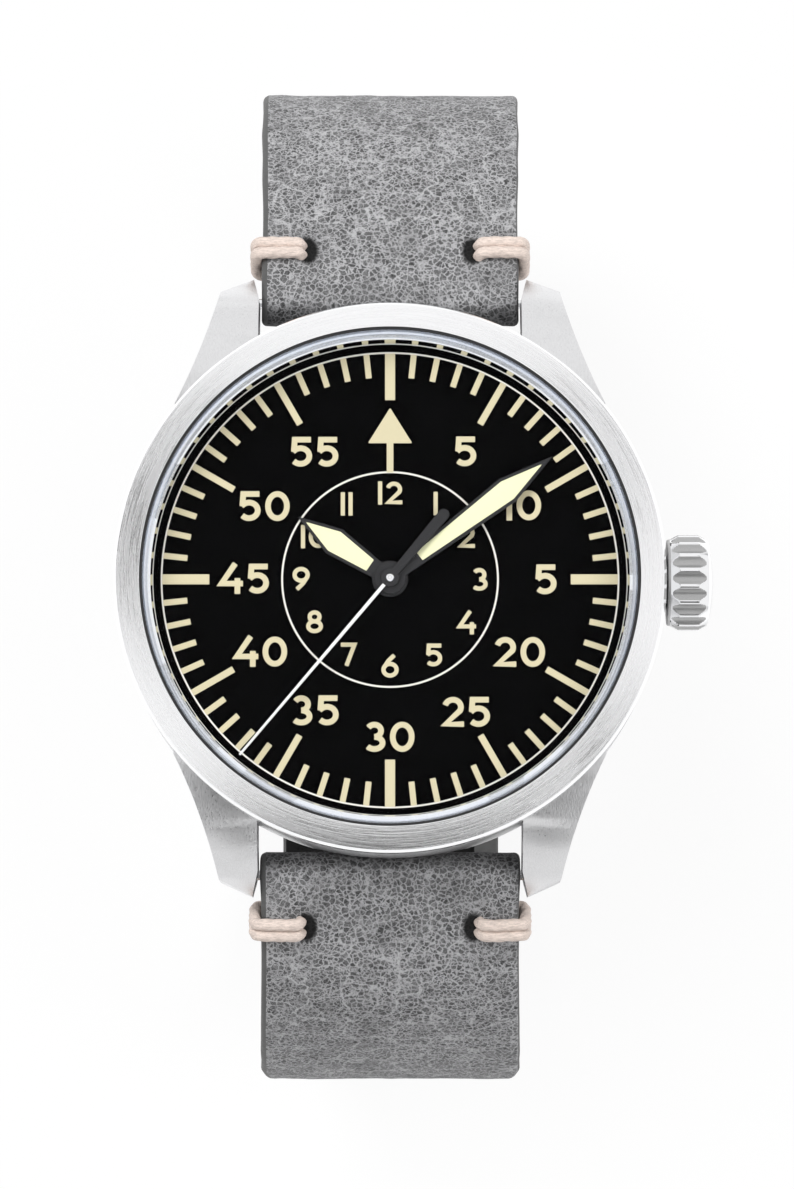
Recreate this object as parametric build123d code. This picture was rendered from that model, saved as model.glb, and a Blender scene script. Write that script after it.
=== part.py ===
from build123d import *
import os
from math import asin, atan, atan2, cos, degrees, hypot, pi, radians, sin, sqrt, tan

# Pilot watch, dial up, standing on its closed leather strap. All lengths in millimetres.
# X points to the crown, Y to 12 o'clock and Z up. The hand axis is the Z axis, and Z is zero where the buckle
# and the keepers rest. Heights of the case and the movement are counted from the underside of the case back.

# General fits
overrun = 1.0
fit = 0.03
running_fit = 0.05
small_sides = 8

# Case
case_lift = 47.0
case_radius = 21.0
case_bottom = 1.3
case_rim = 1.1
strap_width = 19.9
lug_play = 0.17
lug_gap = strap_width + 2 * lug_play
lug_reach = 2.9
lug_width = 2.98
lug_tip_corner = 0.44
lug_tip_flare = 1.8
lug_tip_slant = 1.2
lug_waist = 0.3
lug_root_angle = 39.2
lug_root_stand = 0.2
lug_embedded = 14.9
lug_shoulder_setback = 11.4
lug_crest_setback = 4.3
lug_crest_drop = 2.0
lug_tip_top_z = 2.5
lug_tip_low_z = 0.3
lug_toe_setback = 1.0
lug_toe_z = -0.6
lug_heel_setback = 6.3
lug_tip_y = case_radius + lug_reach
lug_tip_inner_x = lug_gap / 2 + lug_tip_corner
lug_tip_outer_x = lug_gap / 2 + lug_width
lug_tip_outer_y = lug_tip_y - lug_tip_slant

# Bezel, crystal and the mirror ring under it
bezel_height = 2.05
bezel_wall_height = 1.15
bezel_chamfer = 0.2
bezel_width = 2.0
bezel_slope_drop = 0.5
crystal_gasket_width = 0.2
crystal_thickness = 1.6
crystal_bevel = 0.4
hand_space = 1.8
mirror_foot_width = 1.01
mirror_top_width = 0.43
bezel_bore = case_radius - bezel_width
crystal_radius = bezel_bore - crystal_gasket_width
mirror_foot_radius = crystal_radius - mirror_foot_width
mirror_top_radius = crystal_radius - mirror_top_width

# Stack of the case back and the movement, from below
back_recess = 0.2
back_glass_thickness = 1.0
back_glass_ledge = 0.5
back_flange_setback = 2.4
back_thread_setback = 1.2
back_thread_height = 0.8
back_neck_wall = 1.4
back_glass_seat = 2.0
back_notch_width = 3.2
back_notch_depth = 1.3
back_notch_height = 0.5
back_notch_count = 6
gasket_inset = 0.2
gasket_height = 0.3
back_flange_radius = case_radius - back_flange_setback
back_thread_radius = back_flange_radius - back_thread_setback
back_neck_bore = back_thread_radius - back_neck_wall
back_glass_radius = back_neck_bore - back_glass_seat
rotor_gap = 0.35
rotor_plate_thickness = 0.45
rotor_rim_thickness = 0.8
winding_gap = 0.2
winding_wheel_thickness = 0.35
bridge_thickness = 0.6
train_space = 2.1
plate_thickness = 1.0
motion_space = 0.8
dial_thickness = 0.4
dial_play = 0.4
dial_seat = 0.3
movement_radius = 12.85
dial_radius = bezel_bore - dial_play
cavity_radius = dial_radius - dial_seat

# Movement plan
bridge_wall = 1.1
barrel_bridge_start = -24
barrel_bridge_end = 128
train_bridge_start = 131
train_bridge_end = 236
centre_room = 2.3
escape_arm_width = 1.9
balance_room = 0.28
cock_angle = 302
cock_half_angle = 13
cock_foot_radius = 9.4
barrel_screw_angles = (14, 50, 110)
train_screw_angles = (142, 204, 226)
arbor_radius = 0.15
jewel_radius = 0.55
barrel_centre_radius = 5.6
barrel_angle = 50
third_centre_radius = 4.5
third_angle = 180
escape_centre_radius = 4.5
escape_angle = 239
balance_centre_radius = 8.3
balance_angle = 265
minute_wheel_centre_radius = 3.0
minute_wheel_angle = 215

# Wheels: tooth counts, with modules worked out from the distances
centre_teeth = 48
pinion_leaves = 6
third_teeth = 45
barrel_teeth = 54
seconds_teeth = 60
escape_leaves = 6
cannon_teeth = 8
minute_teeth = 24
minute_leaves = 8
hour_teeth = 32
ratchet_teeth = 32
crown_wheel_teeth = 16
escape_teeth = 15
addendum_share = 0.85
dedendum_share = 1.25
tooth_root_share = 0.3
wheel_teeth_least = 20
wheel_thickness = 0.2
pinion_extra = 0.08
rim_share = 0.84
hub_share = 0.22
spoke_width = 0.45
spoke_count = 4
window_shares = (-1, -1 / 3, 1 / 3, 1)
seconds_wheel_lift = 0.15
third_wheel_lift = 0.65
barrel_lift = 0.55
barrel_height = 1.0
barrel_radius = 4.6
barrel_teeth_lift = 0.5
barrel_teeth_thickness = 0.3
barrel_wall = 0.3
barrel_arbor_radius = 0.8
centre_wheel_lift = 1.65
escape_lift = 1.15
escape_radius = 2.0
escape_root_radius = 1.5
escape_rim_radius = 1.25
escape_hub_radius = 0.45
escape_heel_share = 0.42
escape_lock_share = 0.08

# Pallet fork, balance and hairspring
pallet_bridge_lift = 0.85
pallet_bridge_thickness = 0.2
pallet_bridge_width = 1.1
pallet_bridge_half_length = 2.6
fork_step_length = 2.32
fork_length = 1.65
fork_width = 0.34
fork_notch_width = 0.4
fork_arm_turn = 82
fork_arm_span = 1.55
stone_turn = 4
stone_length = 0.5
stone_width = 0.22
balance_radius = 4.0
balance_rim_width = 0.45
balance_lift = 0.35
balance_height = 0.4
balance_arm_width = 0.7
balance_hub_radius = 0.75
roller_radius = 0.5
roller_extra = 0.25
balance_rest_angle = 20
hairspring_lift = 0.08
hairspring_height = 0.14
hairspring_strip = 0.12
hairspring_inner_radius = 0.75
hairspring_pitch = 0.56
hairspring_half_turns = 7
half_turn = 180
points_per_half_turn = 24
cock_reach = 1.6
mainspring_gap = 0.1

# Winding wheels, rotor and automatic bridge
ratchet_radius = 2.75
crown_wheel_bearing = -42
automatic_hub_radius = 2.3
automatic_arm_width = 4.6
automatic_arm_length = 9.4
rotor_play = 1.15
rotor_rim_width = 2.75
rotor_hub_radius = 3.0
rotor_arm_angle = 38
rotor_bore = 1.2
rotor_start_angle = 200
rotor_radius = back_glass_radius - back_glass_ledge - rotor_play
rotor_rim_radius = rotor_radius - rotor_rim_width
bearing_head_radius = 1.7
bearing_head_thickness = 0.12

# Hands and their arbors
centre_arbor_radius = 0.4
cannon_bore = 0.43
cannon_pipe_radius = 0.58
hour_pipe_bore = 0.64
hour_pipe_radius = 0.95
dial_hole_radius = 1.1
cannon_lift = 0.06
hour_wheel_lift = 0.46
hand_thickness = 0.2
hour_hand_gap = 0.3
minute_hand_gap = 0.25
seconds_hand_gap = 0.25
hour_hand_angle = -55.9
hour_hand_length = 8.52
hour_hand_width = 2.22
hour_hand_widest = 5.13
hour_hand_neck = 1.1
hour_hand_hub = 1.38
hour_lume_start = 1.83
minute_hand_angle = 53.0
minute_hand_play = 2.23
minute_hand_width = 2.13
minute_hand_point = 4.36
minute_hand_neck = 1.0
minute_hand_hub = 1.2
minute_lume_start = 2.8
hand_frame_width = 0.24
seconds_hand_angle = 220.2
seconds_hand_play = 0.09
seconds_hand_width = 0.3
seconds_hand_tip_width = 0.18
seconds_tail_length = 6.75
seconds_tail_width = 0.87
seconds_hand_hub = 0.7
seconds_cap_radius = 0.3
seconds_cap_height = 0.12
minute_hand_length = mirror_foot_radius - minute_hand_play
minute_hand_widest = minute_hand_length - minute_hand_point
seconds_hand_length = mirror_foot_radius - seconds_hand_play

# Crown, stem and tube, all on the winding axis
stem_drop = 0.3
stem_radius = 0.5
stem_inner_x = 7.6
crown_gap = 0.2
crown_base_length = 0.35
crown_flute_length = 2.7
crown_cap_height = 0.49
crown_radius = 3.675
crown_base_radius = 3.3
crown_cap_radius = 3.2
crown_bevel = 0.3
crown_bevel_angle = 45
crown_dome_radius = 14.0
crown_flutes = 18
crown_flute_depth = 0.24
crown_bore_radius = 2.05
crown_bore_depth = 2.3
tube_radius = 1.6
tube_bore = 1.0
tube_embedded = 2.4
tube_stand = 1.2
crown_gasket_width = 0.7
stem_grip = 0.5
stem_collar = 1.4
sliding_pinion_x = 8.2
sliding_pinion_length = 1.3
winding_pinion_length = 1.3
keyless_gap = 0.2
keyless_radius = 1.05
keyless_teeth = 12
keyless_tooth_height = 0.25
crown_start_x = case_radius + crown_gap
crown_base_end_x = crown_start_x + crown_base_length
crown_flute_end_x = crown_base_end_x + crown_flute_length
crown_end_x = crown_flute_end_x + crown_cap_height
tube_inner_x = case_radius - tube_embedded
tube_outer_x = case_radius + tube_stand

# Bridge screws
screw_radius = 0.5
screw_head_radius = 0.85
screw_head_height = 0.25

# Spring bars
bar_setback = 1.7
bar_z = 1.3
bar_radius = 0.75
bar_tip_radius = 0.4
bar_end_play = 0.32
bar_tip_length = 1.2
bar_y = lug_tip_y - bar_setback
bar_length = lug_gap - 2 * bar_end_play

# Strap: both halves leave the lugs alike and meet under the wrist
strap_side_taper = 0.2
strap_end_taper = 0.95
strap_side_drop = 18.0
strap_narrow_drop = 35.0
strap_roll_radius = 1.8
strap_pocket_clearance = 0.25
strap_fall_angle = 18
strap_far_reach = 42.0
strap_near_reach = 37.4
strap_corner_radius = 21.4
strap_thickness = 2.3
lining_thickness = 0.9
lining_gap = 0.02
strap_gap = 0.2
keeper_wall = 1.0
keeper_clearance = 0.2
tail_dip_setback = 9.4
tail_dip_length = 7.8
tail_end_angle = 48
tail_point_length = 7.0
strap_slot_width = 2.4
strap_hole_radius = 1.0
strap_hole_pitch = 7.0
strap_hole_count = 5
strap_side_width = strap_width - 2 * strap_side_taper
strap_end_width = strap_width - 2 * strap_end_taper
strap_side_z = case_lift - strap_side_drop
strap_narrow_z = case_lift - strap_narrow_drop

# Buckle
frame_length = 12.0
frame_front_depth = 2.5
frame_bar_height = 1.9
frame_clearance = 0.3
frame_rail_width = 2.0
frame_rail_gap = 0.3
frame_foot_setback = 6.6
frame_ear_radius = 1.5
bar_grip = 2.4
buckle_y = -2.0
buckle_roll_radius = 1.55
buckle_bar_radius = 0.7
tongue_width = 1.8
tongue_height = 0.85
tongue_ring_radius = 1.25
tongue_shelf_length = 4.1
tongue_foot_length = 7.4
tongue_length = 12.3
tongue_tip_z = 0.25
tongue_open_play = 0.6
tongue_shelf_rise = 0.7
tongue_knee = 0.35
tongue_notch_clearance = 0.3
frame_front_y = buckle_y - frame_length
frame_foot_y = buckle_y - frame_foot_setback
tongue_shelf_y = buckle_y - tongue_shelf_length
tongue_foot_y = buckle_y - tongue_foot_length
tongue_tip_y = buckle_y - tongue_length
tail_dip_start_y = buckle_y - tail_dip_setback

# Keepers
keeper_setback = 0.2
keeper_spacing = 2.0
keeper_width = 6.2
keeper_corner = 0.8
fixed_keeper_y = buckle_y + frame_ear_radius + keeper_setback
free_keeper_y = fixed_keeper_y + keeper_width + keeper_spacing

# Stitches round the strap's edges
stitch_run = 3.85
stitch_width = 2.1
stitch_thickness = 0.7
stitch_depth = 3.55
stitch_inset = 3.05
stitch_post = 0.9
stitch_clearance = 0.1
stitch_hole_clearance = 0.1
stitch_hole_x = strap_width / 2 - stitch_inset

# Heights worked out from the stack
glass_bottom = back_recess
glass_top = glass_bottom + back_glass_thickness
rotor_bottom = glass_top + rotor_gap
winding_bottom = rotor_bottom + rotor_rim_thickness + winding_gap
bridge_bottom = winding_bottom + winding_wheel_thickness
train_bottom = bridge_bottom + bridge_thickness
plate_bottom = train_bottom + train_space
motion_bottom = plate_bottom + plate_thickness
dial_bottom = motion_bottom + motion_space
dial_top = dial_bottom + dial_thickness
case_top = dial_top + case_rim
lug_crest_z = case_top - lug_crest_drop
stem_z = plate_bottom - stem_drop
crystal_bottom = dial_top + hand_space
crystal_top = crystal_bottom + crystal_thickness
hour_hand_bottom = dial_top + hour_hand_gap
hour_hand_top = hour_hand_bottom + hand_thickness
minute_hand_bottom = hour_hand_top + minute_hand_gap
minute_hand_top = minute_hand_bottom + hand_thickness
seconds_hand_bottom = minute_hand_top + seconds_hand_gap
seconds_hand_top = seconds_hand_bottom + hand_thickness
tail_outer_z = keeper_wall + keeper_clearance
upper_outer_z = tail_outer_z + strap_thickness + strap_gap
under_bar_z = frame_bar_height + frame_clearance
buckle_z = upper_outer_z + buckle_roll_radius
leather_depth = strap_thickness - lining_thickness
lining_offset = lining_thickness - strap_roll_radius
pallet_low = train_bottom + pallet_bridge_lift
rim_middle = movement_radius - bridge_wall


def polar(distance, angle):
    """Point of the plan at a distance and an angle in degrees from +X."""
    return (distance * cos(radians(angle)), distance * sin(radians(angle)))


barrel_at = polar(barrel_centre_radius, barrel_angle)
third_at = polar(third_centre_radius, third_angle)
escape_at = polar(escape_centre_radius, escape_angle)
balance_at = polar(balance_centre_radius, balance_angle)
minute_wheel_at = polar(minute_wheel_centre_radius, minute_wheel_angle)
lever_angle = degrees(atan2(balance_at[1] - escape_at[1], balance_at[0] - escape_at[0]))
fork_step = polar(fork_step_length, lever_angle)
fork_at = (escape_at[0] + fork_step[0], escape_at[1] + fork_step[1])
centre_module = third_centre_radius / ((centre_teeth + pinion_leaves) / 2)
third_module = third_centre_radius / ((third_teeth + pinion_leaves) / 2)
barrel_module = barrel_centre_radius / ((barrel_teeth + pinion_leaves) / 2)
escape_module = escape_centre_radius / ((seconds_teeth + escape_leaves) / 2)
cannon_module = minute_wheel_centre_radius / ((cannon_teeth + minute_teeth) / 2)
hour_module = minute_wheel_centre_radius / ((minute_leaves + hour_teeth) / 2)
ratchet_module = 2 * ratchet_radius / ratchet_teeth
crown_wheel_radius = ratchet_module * crown_wheel_teeth / 2
crown_wheel_gap = ratchet_radius + crown_wheel_radius
crown_wheel_step = polar(crown_wheel_gap, crown_wheel_bearing)
crown_wheel_at = (barrel_at[0] + crown_wheel_step[0], barrel_at[1] + crown_wheel_step[1])
barrel_screws = [polar(rim_middle, angle) for angle in barrel_screw_angles]
train_screws = [polar(rim_middle, angle) for angle in train_screw_angles]
cock_screws = [polar(rim_middle, cock_angle)]


def cylinder(radius, bottom, top, at=(0, 0)):
    """Upright cylinder between two heights."""
    body = Cylinder(radius, top - bottom, align=(Align.CENTER, Align.CENTER, Align.MIN))
    return Pos(at[0], at[1], bottom) * body


def ring(outer, inner, bottom, top, at=(0, 0)):
    """Upright tube between two heights."""
    return cylinder(outer, bottom, top, at) - cylinder(inner, bottom - overrun, top + overrun, at)


def pin(radius, bottom, top, at=(0, 0)):
    """Small round piece as a prism of few sides, whose corners lie at the radius."""
    return Pos(at[0], at[1], bottom) * extrude(RegularPolygon(radius, small_sides), amount=top - bottom)


def pin_hole(radius, bottom, top, at=(0, 0)):
    """Small round hole as a prism of few sides, whose flats lie at the radius."""
    section = RegularPolygon(radius, small_sides, major_radius=False)
    return Pos(at[0], at[1], bottom - overrun) * extrude(section, amount=top - bottom + 2 * overrun)


def cross_pin(radius, length, y, z):
    """Round bar along X, centred, of few sides."""
    section = RegularPolygon(radius, small_sides)
    return Pos(0, y, z) * Rot(0, 90, 0) * extrude(section, amount=length / 2, both=True)


def cross_hole(radius, length, y, z):
    """Bore along X, centred, whose flats lie at the radius."""
    section = RegularPolygon(radius, small_sides, major_radius=False)
    return Pos(0, y, z) * Rot(0, 90, 0) * extrude(section, amount=length / 2, both=True)


def block(x0, x1, y0, y1, z0, z1):
    """Box between two corners."""
    body = Box(x1 - x0, y1 - y0, z1 - z0, align=(Align.MIN, Align.MIN, Align.MIN))
    return Pos(x0, y0, z0) * body


def turned(profile):
    """Solid of revolution round Z from radius and height pairs."""
    outline = Polyline(*[(radius, 0, height) for radius, height in profile], close=True)
    return revolve(make_face(outline), Axis.Z)


def along_stem(shape):
    """Lay an upright piece on the winding axis, its Z becoming the way out to the crown."""
    return Pos(0, 0, stem_z) * Rot(0, 90, 0) * shape


def plate_of(points, bottom, top):
    """Plate with a straight-edged outline."""
    face = make_face(Polyline(*points, close=True))
    return Pos(0, 0, bottom) * extrude(face, amount=top - bottom)


def side_extrusion(edges, half_width):
    """Body with an outline in the YZ plane, equally wide on both sides."""
    return extrude(Plane.YZ * make_face(edges), amount=half_width, both=True)


def sector(radius, start, end, bottom, top):
    """Pie-shaped body that reaches past a radius, used to cut plates into bridges."""
    reach = 2 * radius
    count = 8
    step = (end - start) / count
    points = [(0, 0)] + [polar(reach, start + step * index) for index in range(count + 1)]
    return plate_of(points, bottom, top)


def gear_outline(teeth, module, phase):
    """Outline of pointed teeth: pinions have a flat land between them, wheels a plain valley."""
    tip = module * (teeth / 2 + addendum_share)
    root = module * (teeth / 2 - dedendum_share)
    pitch = 360 / teeth
    points = []
    for index in range(teeth):
        middle = phase + pitch * index
        if teeth < wheel_teeth_least:
            points += [polar(root, middle - pitch * tooth_root_share), polar(tip, middle)]
            points += [polar(root, middle + pitch * tooth_root_share)]
        else:
            points += [polar(root, middle - pitch / 2), polar(tip, middle)]
    return points


def gear(teeth, module, bottom, thickness, at, phase=0.0):
    """Solid gear on a point of the plan."""
    body = plate_of(gear_outline(teeth, module, phase), bottom, bottom + thickness)
    return Pos(at[0], at[1], 0) * body


def wheel_windows(outer, inner, count, bottom, top):
    """Windows between the spokes of a wheel, each with a rim side of three flats."""
    windows = None
    for index in range(count):
        middle = 360 / count * index
        half_outer = 180 / count - degrees(asin(spoke_width / 2 / outer))
        half_inner = 180 / count - degrees(asin(spoke_width / 2 / inner))
        points = [polar(outer, middle + half_outer * share) for share in window_shares]
        points += [polar(inner, middle + half_inner), polar(inner, middle - half_inner)]
        window = plate_of(points, bottom - overrun, top + overrun)
        windows = window if windows is None else windows + window
    return windows


def crossed_gear(teeth, module, bottom, thickness, at, phase=0.0):
    """Gear whose web is cut away to four spokes."""
    radius = module * teeth / 2
    body = gear(teeth, module, bottom, thickness, (0, 0), phase)
    body -= wheel_windows(radius * rim_share, radius * hub_share, spoke_count, bottom, bottom + thickness)
    return Pos(at[0], at[1], 0) * body


def screw(bottom, length, at):
    """Screw whose head faces down and whose shank points up."""
    head = pin(screw_head_radius, bottom, bottom + screw_head_height, at)
    return head + pin(screw_radius, bottom, bottom + length, at)


def half_circle(inner_radius, pitch, index):
    """Centre, radius and start angle of one half circle of a spiral."""
    centre_x = pitch / 4 * (1 if index % 2 else -1)
    return centre_x, inner_radius + pitch / 2 * index + pitch / 4, half_turn * (index % 2)


def spiral(inner_radius, pitch, strip, half_turns, bottom, height, at):
    """Flat spiral strip of half circles, each half a pitch wider than the last."""
    inner_edges = []
    outer_edges = []
    for index in range(half_turns):
        centre_x, radius, start = half_circle(inner_radius, pitch, index)
        inner_edges.append(CenterArc((centre_x, 0), radius - strip / 2, start, half_turn))
        outer_edges.append(CenterArc((centre_x, 0), radius + strip / 2, start, half_turn))
    first = Line(inner_edges[0] @ 0, outer_edges[0] @ 0)
    last = Line(inner_edges[-1] @ 1, outer_edges[-1] @ 1)
    face = make_face(Wire(inner_edges + outer_edges + [first, last]))
    return Pos(at[0], at[1], bottom) * extrude(face, amount=height)


# Case and its covers
def lug_plan():
    """One lug seen from above, from inside the case wall to its tip."""
    half_gap = lug_gap / 2
    inner_y = lug_tip_y - lug_embedded
    root = polar(case_radius + lug_root_stand, lug_root_angle)
    lean = atan2(root[0] - lug_tip_outer_x, lug_tip_outer_y - root[1])
    waist_x = (root[0] + lug_tip_outer_x) / 2 - lug_waist * cos(lean)
    waist_y = (root[1] + lug_tip_outer_y) / 2 - lug_waist * sin(lean)
    outer = ThreePointArc(root, (waist_x, waist_y), (lug_tip_outer_x, lug_tip_outer_y))
    rest = Polyline((lug_tip_outer_x, lug_tip_outer_y), (lug_tip_inner_x, lug_tip_y),
                    (half_gap, lug_tip_y - lug_tip_flare), (half_gap, inner_y), (root[0], inner_y), root)
    face = make_face(Wire([outer] + rest.edges()))
    return Pos(0, 0, lug_toe_z - overrun) * extrude(face, amount=case_top - lug_toe_z + 2 * overrun)


def lug_side():
    """Side view shared by all lugs: a crest that falls to the tip and a toe below the case back."""
    inner_y = lug_tip_y - lug_embedded
    shoulder = (lug_tip_y - lug_shoulder_setback, case_top)
    crest = (lug_tip_y - lug_crest_setback, lug_crest_z)
    top = ThreePointArc(shoulder, crest, (lug_tip_y, lug_tip_top_z))
    rest = Polyline((lug_tip_y, lug_tip_top_z), (lug_tip_y, lug_tip_low_z),
                    (lug_tip_y - lug_toe_setback, lug_toe_z), (lug_tip_y - lug_heel_setback, case_bottom),
                    (inner_y, case_bottom), (inner_y, case_top), shoulder)
    return side_extrusion(Wire([top] + rest.edges()), case_radius)


def strap_pocket():
    """Room between the lugs for the rolled end of the strap."""
    radius = strap_roll_radius + strap_pocket_clearance
    roll = Pos(0, bar_y, bar_z) * Rot(0, 90, 0) * Cylinder(radius, lug_gap)
    below = block(-lug_gap / 2, lug_gap / 2, bar_y - radius, bar_y + radius, lug_toe_z - overrun, bar_z)
    return roll + below


def bar_holes():
    """Blind holes for the tips of one spring bar."""
    depth = bar_length + 2 * bar_tip_length
    return cross_hole(bar_tip_radius + fit, depth, bar_y, bar_z)


def mid_case():
    """Round case middle with four lugs and the bores for back, movement, dial and crown tube."""
    body = cylinder(case_radius, case_bottom, case_top)
    lug = lug_plan() & lug_side()
    upper = lug + mirror(lug, Plane.YZ)
    body = body + upper + mirror(upper, Plane.XZ)
    pocket = strap_pocket() + bar_holes()
    body = body - pocket - mirror(pocket, Plane.XZ)
    body -= cylinder(back_thread_radius + fit, case_bottom - overrun, case_top + overrun)
    body -= cylinder(cavity_radius, bridge_bottom, case_top + overrun)
    body -= cylinder(bezel_bore, dial_bottom, case_top + overrun)
    return body - along_stem(cylinder(tube_radius, back_thread_radius, case_radius + overrun))


def bezel():
    """Bezel with an upright wall, a narrow bevel and a gently sloped top."""
    bevel_z = case_top + bezel_wall_height
    top_z = case_top + bezel_height
    slope_z = top_z - bezel_slope_drop
    return turned([(bezel_bore, case_top), (case_radius, case_top), (case_radius, bevel_z),
                   (case_radius - bezel_chamfer, slope_z), (bezel_bore, top_z)])


def crystal():
    """Flat sapphire disc with a bevelled rim."""
    return turned([(0, crystal_bottom), (crystal_radius, crystal_bottom),
                   (crystal_radius, crystal_top - crystal_bevel),
                   (crystal_radius - crystal_bevel, crystal_top), (0, crystal_top)])


def crystal_gasket():
    """Press ring between crystal and bezel."""
    return ring(bezel_bore - fit, crystal_radius + fit, crystal_bottom, case_top + bezel_height)


def mirror_ring():
    """Polished ring whose bore widens from the dial up to the crystal."""
    outer = bezel_bore - fit
    return turned([(mirror_foot_radius, dial_top), (outer, dial_top), (outer, crystal_bottom),
                   (mirror_top_radius, crystal_bottom)])


def case_back_ring():
    """Screwed ring with a threaded neck, a ledge for the glass and notches for the key."""
    neck_top = case_bottom + back_thread_height
    body = turned([(back_glass_radius - back_glass_ledge, glass_top), (back_neck_bore, neck_top),
                   (back_thread_radius, neck_top), (back_thread_radius, case_bottom - gasket_height),
                   (back_flange_radius, case_bottom - gasket_height), (back_flange_radius, 0),
                   (back_glass_radius + fit, 0), (back_glass_radius + fit, glass_top)])
    for index in range(back_notch_count):
        notch = block(back_flange_radius - back_notch_depth, back_flange_radius + overrun,
                      -back_notch_width / 2, back_notch_width / 2, -overrun, back_notch_height)
        body -= Rot(0, 0, 360 / back_notch_count * index) * notch
    return body


def case_back_glass():
    """Window of the case back."""
    return cylinder(back_glass_radius, glass_bottom, glass_top)


def case_back_gasket():
    """Flat gasket between the flange and the case."""
    return ring(back_flange_radius - gasket_inset, back_thread_radius + fit, case_bottom - gasket_height,
                case_bottom)


def dial():
    """Dial disc with the hole for the hands."""
    return ring(dial_radius, dial_hole_radius, dial_bottom, dial_top)


def movement_ring():
    """Ring that holds the movement in the case, open where the stem passes."""
    body = ring(cavity_radius - fit, movement_radius + fit, bridge_bottom, dial_bottom)
    channel = cylinder(tube_radius, movement_radius - overrun, cavity_radius + overrun)
    return body - along_stem(channel)


# Plates and bridges of the movement
def bar_of_plate(half_width, start, end, bottom, top, at, angle):
    """Straight arm on a point of the plan, turned to an angle."""
    arm = block(start, end, -half_width, half_width, bottom, top)
    return Pos(at[0], at[1], 0) * Rot(0, 0, angle) * arm


def keyless_slot():
    """Slot of the main plate for the pinions on the stem."""
    half = keyless_radius + keyless_tooth_height
    inner = stem_inner_x - keyless_gap
    return block(inner, movement_radius + overrun, -half, half, stem_z - half, dial_bottom)


def main_plate():
    """Main plate with bores for every arbor and the slot of the keyless works."""
    body = cylinder(movement_radius, plate_bottom, motion_bottom)
    for at in (third_at, escape_at, fork_at, balance_at):
        body -= pin_hole(arbor_radius + running_fit, plate_bottom, motion_bottom, at)
    body -= pin_hole(barrel_arbor_radius + running_fit, plate_bottom, motion_bottom, barrel_at)
    body -= pin_hole(centre_arbor_radius + running_fit, plate_bottom, motion_bottom)
    return body - keyless_slot()


def minute_post():
    """Post on the main plate that the minute wheel turns on."""
    return pin(arbor_radius, plate_bottom + plate_thickness, dial_bottom - fit, minute_wheel_at)


def bridge_blank(start, end):
    """Bridge plate with a wall at the rim that stands on the main plate."""
    plate = cylinder(movement_radius, bridge_bottom, train_bottom)
    wall = ring(movement_radius, movement_radius - bridge_wall, train_bottom, plate_bottom)
    body = plate + wall
    return body & sector(movement_radius, start, end, bridge_bottom - overrun, plate_bottom + overrun)


def barrel_bridge():
    """Bridge over the barrel, from the stem to the train bridge."""
    body = bridge_blank(barrel_bridge_start, barrel_bridge_end)
    body -= cylinder(centre_room, bridge_bottom - overrun, plate_bottom)
    body -= pin_hole(barrel_arbor_radius + running_fit, bridge_bottom, train_bottom, barrel_at)
    body -= pin_hole(screw_radius + running_fit, bridge_bottom, train_bottom, crown_wheel_at)
    for at in barrel_screws:
        body -= pin_hole(screw_radius, bridge_bottom, plate_bottom, at)
    return body - keyless_slot()


def train_bridge():
    """Bridge over the wheels, which reaches the centre and leaves the balance open."""
    body = bridge_blank(train_bridge_start, train_bridge_end)
    body += cylinder(centre_room - running_fit, bridge_bottom, train_bottom)
    body += bar_of_plate(escape_arm_width / 2, 0, escape_centre_radius + escape_arm_width / 2, bridge_bottom,
                         train_bottom, (0, 0), escape_angle)
    body -= cylinder(balance_radius + balance_room, bridge_bottom - overrun, plate_bottom, balance_at)
    for at in ((0, 0), third_at, escape_at):
        body -= pin_hole(jewel_radius, bridge_bottom, train_bottom, at)
    for at in train_screws:
        body -= pin_hole(screw_radius, bridge_bottom, plate_bottom, at)
    return body


def balance_cock():
    """Cock with a foot on the main plate and an arm to the balance's axis."""
    foot = bridge_blank(cock_angle - cock_half_angle, cock_angle + cock_half_angle)
    foot_at = polar(rim_middle, cock_angle)
    way = degrees(atan2(balance_at[1] - foot_at[1], balance_at[0] - foot_at[0]))
    length = hypot(balance_at[0] - foot_at[0], balance_at[1] - foot_at[1])
    foot -= cylinder(balance_radius + balance_room, train_bottom, plate_bottom + overrun, balance_at)
    foot -= cylinder(cock_foot_radius, bridge_bottom - overrun, plate_bottom + overrun)
    arm = bar_of_plate(cock_reach, 0, length, bridge_bottom, train_bottom, foot_at, way)
    head = cylinder(cock_reach, bridge_bottom, train_bottom, balance_at)
    body = foot + (arm & cylinder(movement_radius, bridge_bottom, train_bottom)) + head
    body -= pin_hole(jewel_radius, bridge_bottom, train_bottom, balance_at)
    for at in cock_screws:
        body -= pin_hole(screw_radius, bridge_bottom, plate_bottom, at)
    return body


def jewels():
    """Bearing stones of the bridges and the cock."""
    stones = []
    for at in ((0, 0), third_at, escape_at, balance_at):
        stone = pin(jewel_radius, bridge_bottom, train_bottom, at)
        stones.append(stone - pin_hole(arbor_radius + running_fit, bridge_bottom, train_bottom, at))
    return stones


def bridge_screws():
    """Screws that hold the bridges and the cock on the main plate."""
    bottom = bridge_bottom - screw_head_height
    return [screw(bottom, plate_bottom - bottom, at) for at in barrel_screws + train_screws + cock_screws]


# Wheels of the going train
def arbor(at, bottom=train_bottom - bridge_thickness, top=plate_bottom + plate_thickness):
    """Arbor that runs from the bridge's outer face to the plate's dial side."""
    return cylinder(arbor_radius, bottom, top, at)


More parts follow.
